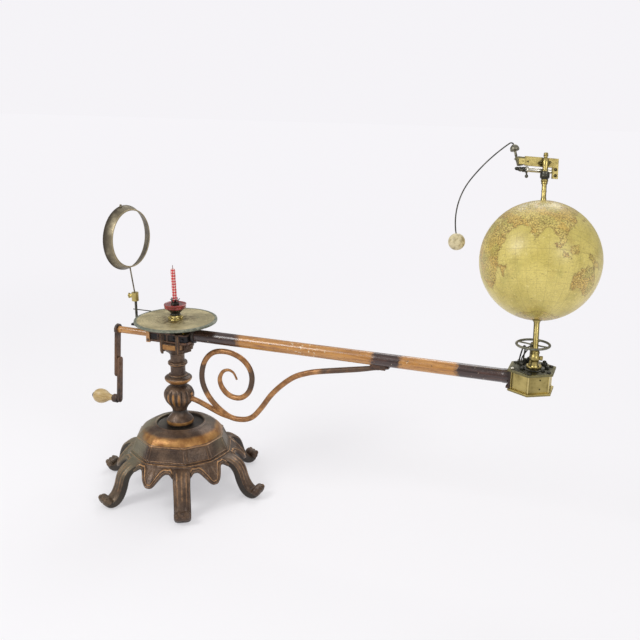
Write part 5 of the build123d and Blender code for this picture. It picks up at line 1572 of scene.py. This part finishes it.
def reflector():
    """The empty tapered ring on its thin rod, its wide rim at the back with a stud near the top."""
    ring = at(-77.9, 0, 400.8) @ turned(-6) @ turned(90, "Y")
    band = [(48.6, -7, 0.5), (49.6, -7, 0.2, 0, 0.9), (50.0, -6.6, 0.1, 0, 0.9), (49.9, -6, 0.1, 0, 0.9),
            (49.4, -5.2, 0, 0, 0.9), (48.6, -4.2, 0, 0, 0.5), (47, 0, 0.1), (44.9, 4.9, 0.3),
            (44.8, 5.6, 0.7), (44.7, 6.5, 0.9), (44.1, 7, 0.9), (43.1, 7, 0.7), (42.5, 6.5, 0.4),
            (42.6, 5.6, 0, 0, 0.3), (43.2, 4.9, 0, 0, 0.5), (47.5, -5, 0, 0, 0.3), (48.1, -6.4, 0.2)]
    form = Form()
    lathe(form, band, 160, looped=True, place=ring)
    lathe(form, [(0, 0), (2.3, 0), (2.1, 1.2), (1.5, 2), (1.9, 2.8), (1.2, 3.6), (0, 3.8)], 20,
          place=ring @ turned(8) @ at(-49.2, 0, -5) @ turned(-90, "Y"))
    tube(form, [(-71.8, 0, 313.4), (-73.8, 0, 327), (-75.8, 0, 340.6), (-77.8, 0, 354.2)], 1.1, 14)
    make("reflector_visual", form, "ring_metal", "reflector", ["reflector_ring"])


def carry_over():
    """CAD nodes that stay as they are get the finished materials of their slots."""
    slots = {entry["node"]: entry["material_slot"] for entry in frame["record"]["subparts"]}
    for node, obj in frame["nodes"].items():
        obj.data.materials.clear()
        obj.data.materials.append(MAT[slots[node]])


BACKDROP = (0.915, 0.9, 0.93, 1)


def stage():
    """A plain pale floor and soft studio light."""
    mesh = bpy.data.meshes.new("floor")
    half = 9.0
    mesh.from_pydata([(-half, -half, 0), (half, -half, 0), (half, half, 0), (-half, half, 0)], [],
                     [(0, 1, 2, 3)])
    floor = bpy.data.objects.new("floor", mesh)
    bpy.context.scene.collection.objects.link(floor)
    paint = Paint("floor_paint", 0.0, 0.8, Specular_IOR_Level=0.1, Emission_Color=BACKDROP)
    x, y, _ = paint.xyz()[:3]
    reach = paint.root(paint.plus(paint.times(x, x), paint.times(y, y)))
    paint.put(paint.bsdf.inputs["Emission Strength"], paint.ramp(reach, 0.35, 1.8, 0.5, 0.99))
    near = paint.ramp(reach, 0.35, 1.8, 0.0, 1.0)
    floor.data.materials.append(paint.finish(paint.mix(near, (0.465, 0.46, 0.467, 1), (0.0, 0.0, 0.0, 1))))
    world = bpy.data.worlds.new("studio")
    bpy.context.scene.world = world
    world.use_nodes = True
    tree = world.node_tree
    tree.nodes.clear()
    kinds = ("OutputWorld", "Background", "Background", "MixShader", "LightPath", "TexCoord", "SeparateXYZ",
             "ValToRGB")
    made = [tree.nodes.new("ShaderNode" + kind) for kind in kinds]
    out, light, seen, pick, path, coords, split, ramp = made
    horizon, zenith = ramp.color_ramp.elements
    horizon.position, horizon.color = 0.0, (0.42, 0.42, 0.43, 1)
    zenith.position, zenith.color = 0.75, (1.0, 1.0, 1.0, 1)
    light.inputs["Strength"].default_value = 0.62
    seen.inputs["Color"].default_value = BACKDROP
    seen.inputs["Strength"].default_value = 1.0
    for source, target in ((coords.outputs["Generated"], split.inputs[0]),
                           (split.outputs["Z"], ramp.inputs[0]),
                           (ramp.outputs[0], light.inputs[0]),
                           (path.outputs["Is Camera Ray"], pick.inputs[0]),
                           (light.outputs[0], pick.inputs[1]), (seen.outputs[0], pick.inputs[2]),
                           (pick.outputs[0], out.inputs[0])):
        tree.links.new(source, target)
    for name, place, size, power in (("key", (-0.9, -1.3, 1.7), 0.9, 20), ("fill", (1.9, -1.2, 1.3), 1.2, 12),
                                     ("back", (0.2, 1.7, 1.8), 1.4, 14)):
        data = bpy.data.lights.new(name, "AREA")
        data.shape = "DISK"
        data.size = size
        data.energy = power
        lamp = bpy.data.objects.new(name, data)
        lamp.location = place
        aim = Vector((0.25, 0, 0.25)) - Vector(place)
        lamp.rotation_euler = aim.to_track_quat("-Z", "Y").to_euler()
        bpy.context.scene.collection.objects.link(lamp)
    bpy.context.scene.view_settings.view_transform = "Standard"


add_camera()
carry_over()
stand_dome()
stand_skirt()
stand_legs()
column()
capital()
head_frame()
arm()
scroll()
disc()
candle_set()
crank()
globe()
gearbox()
carrier()
moon_head()
reflector()
stage()
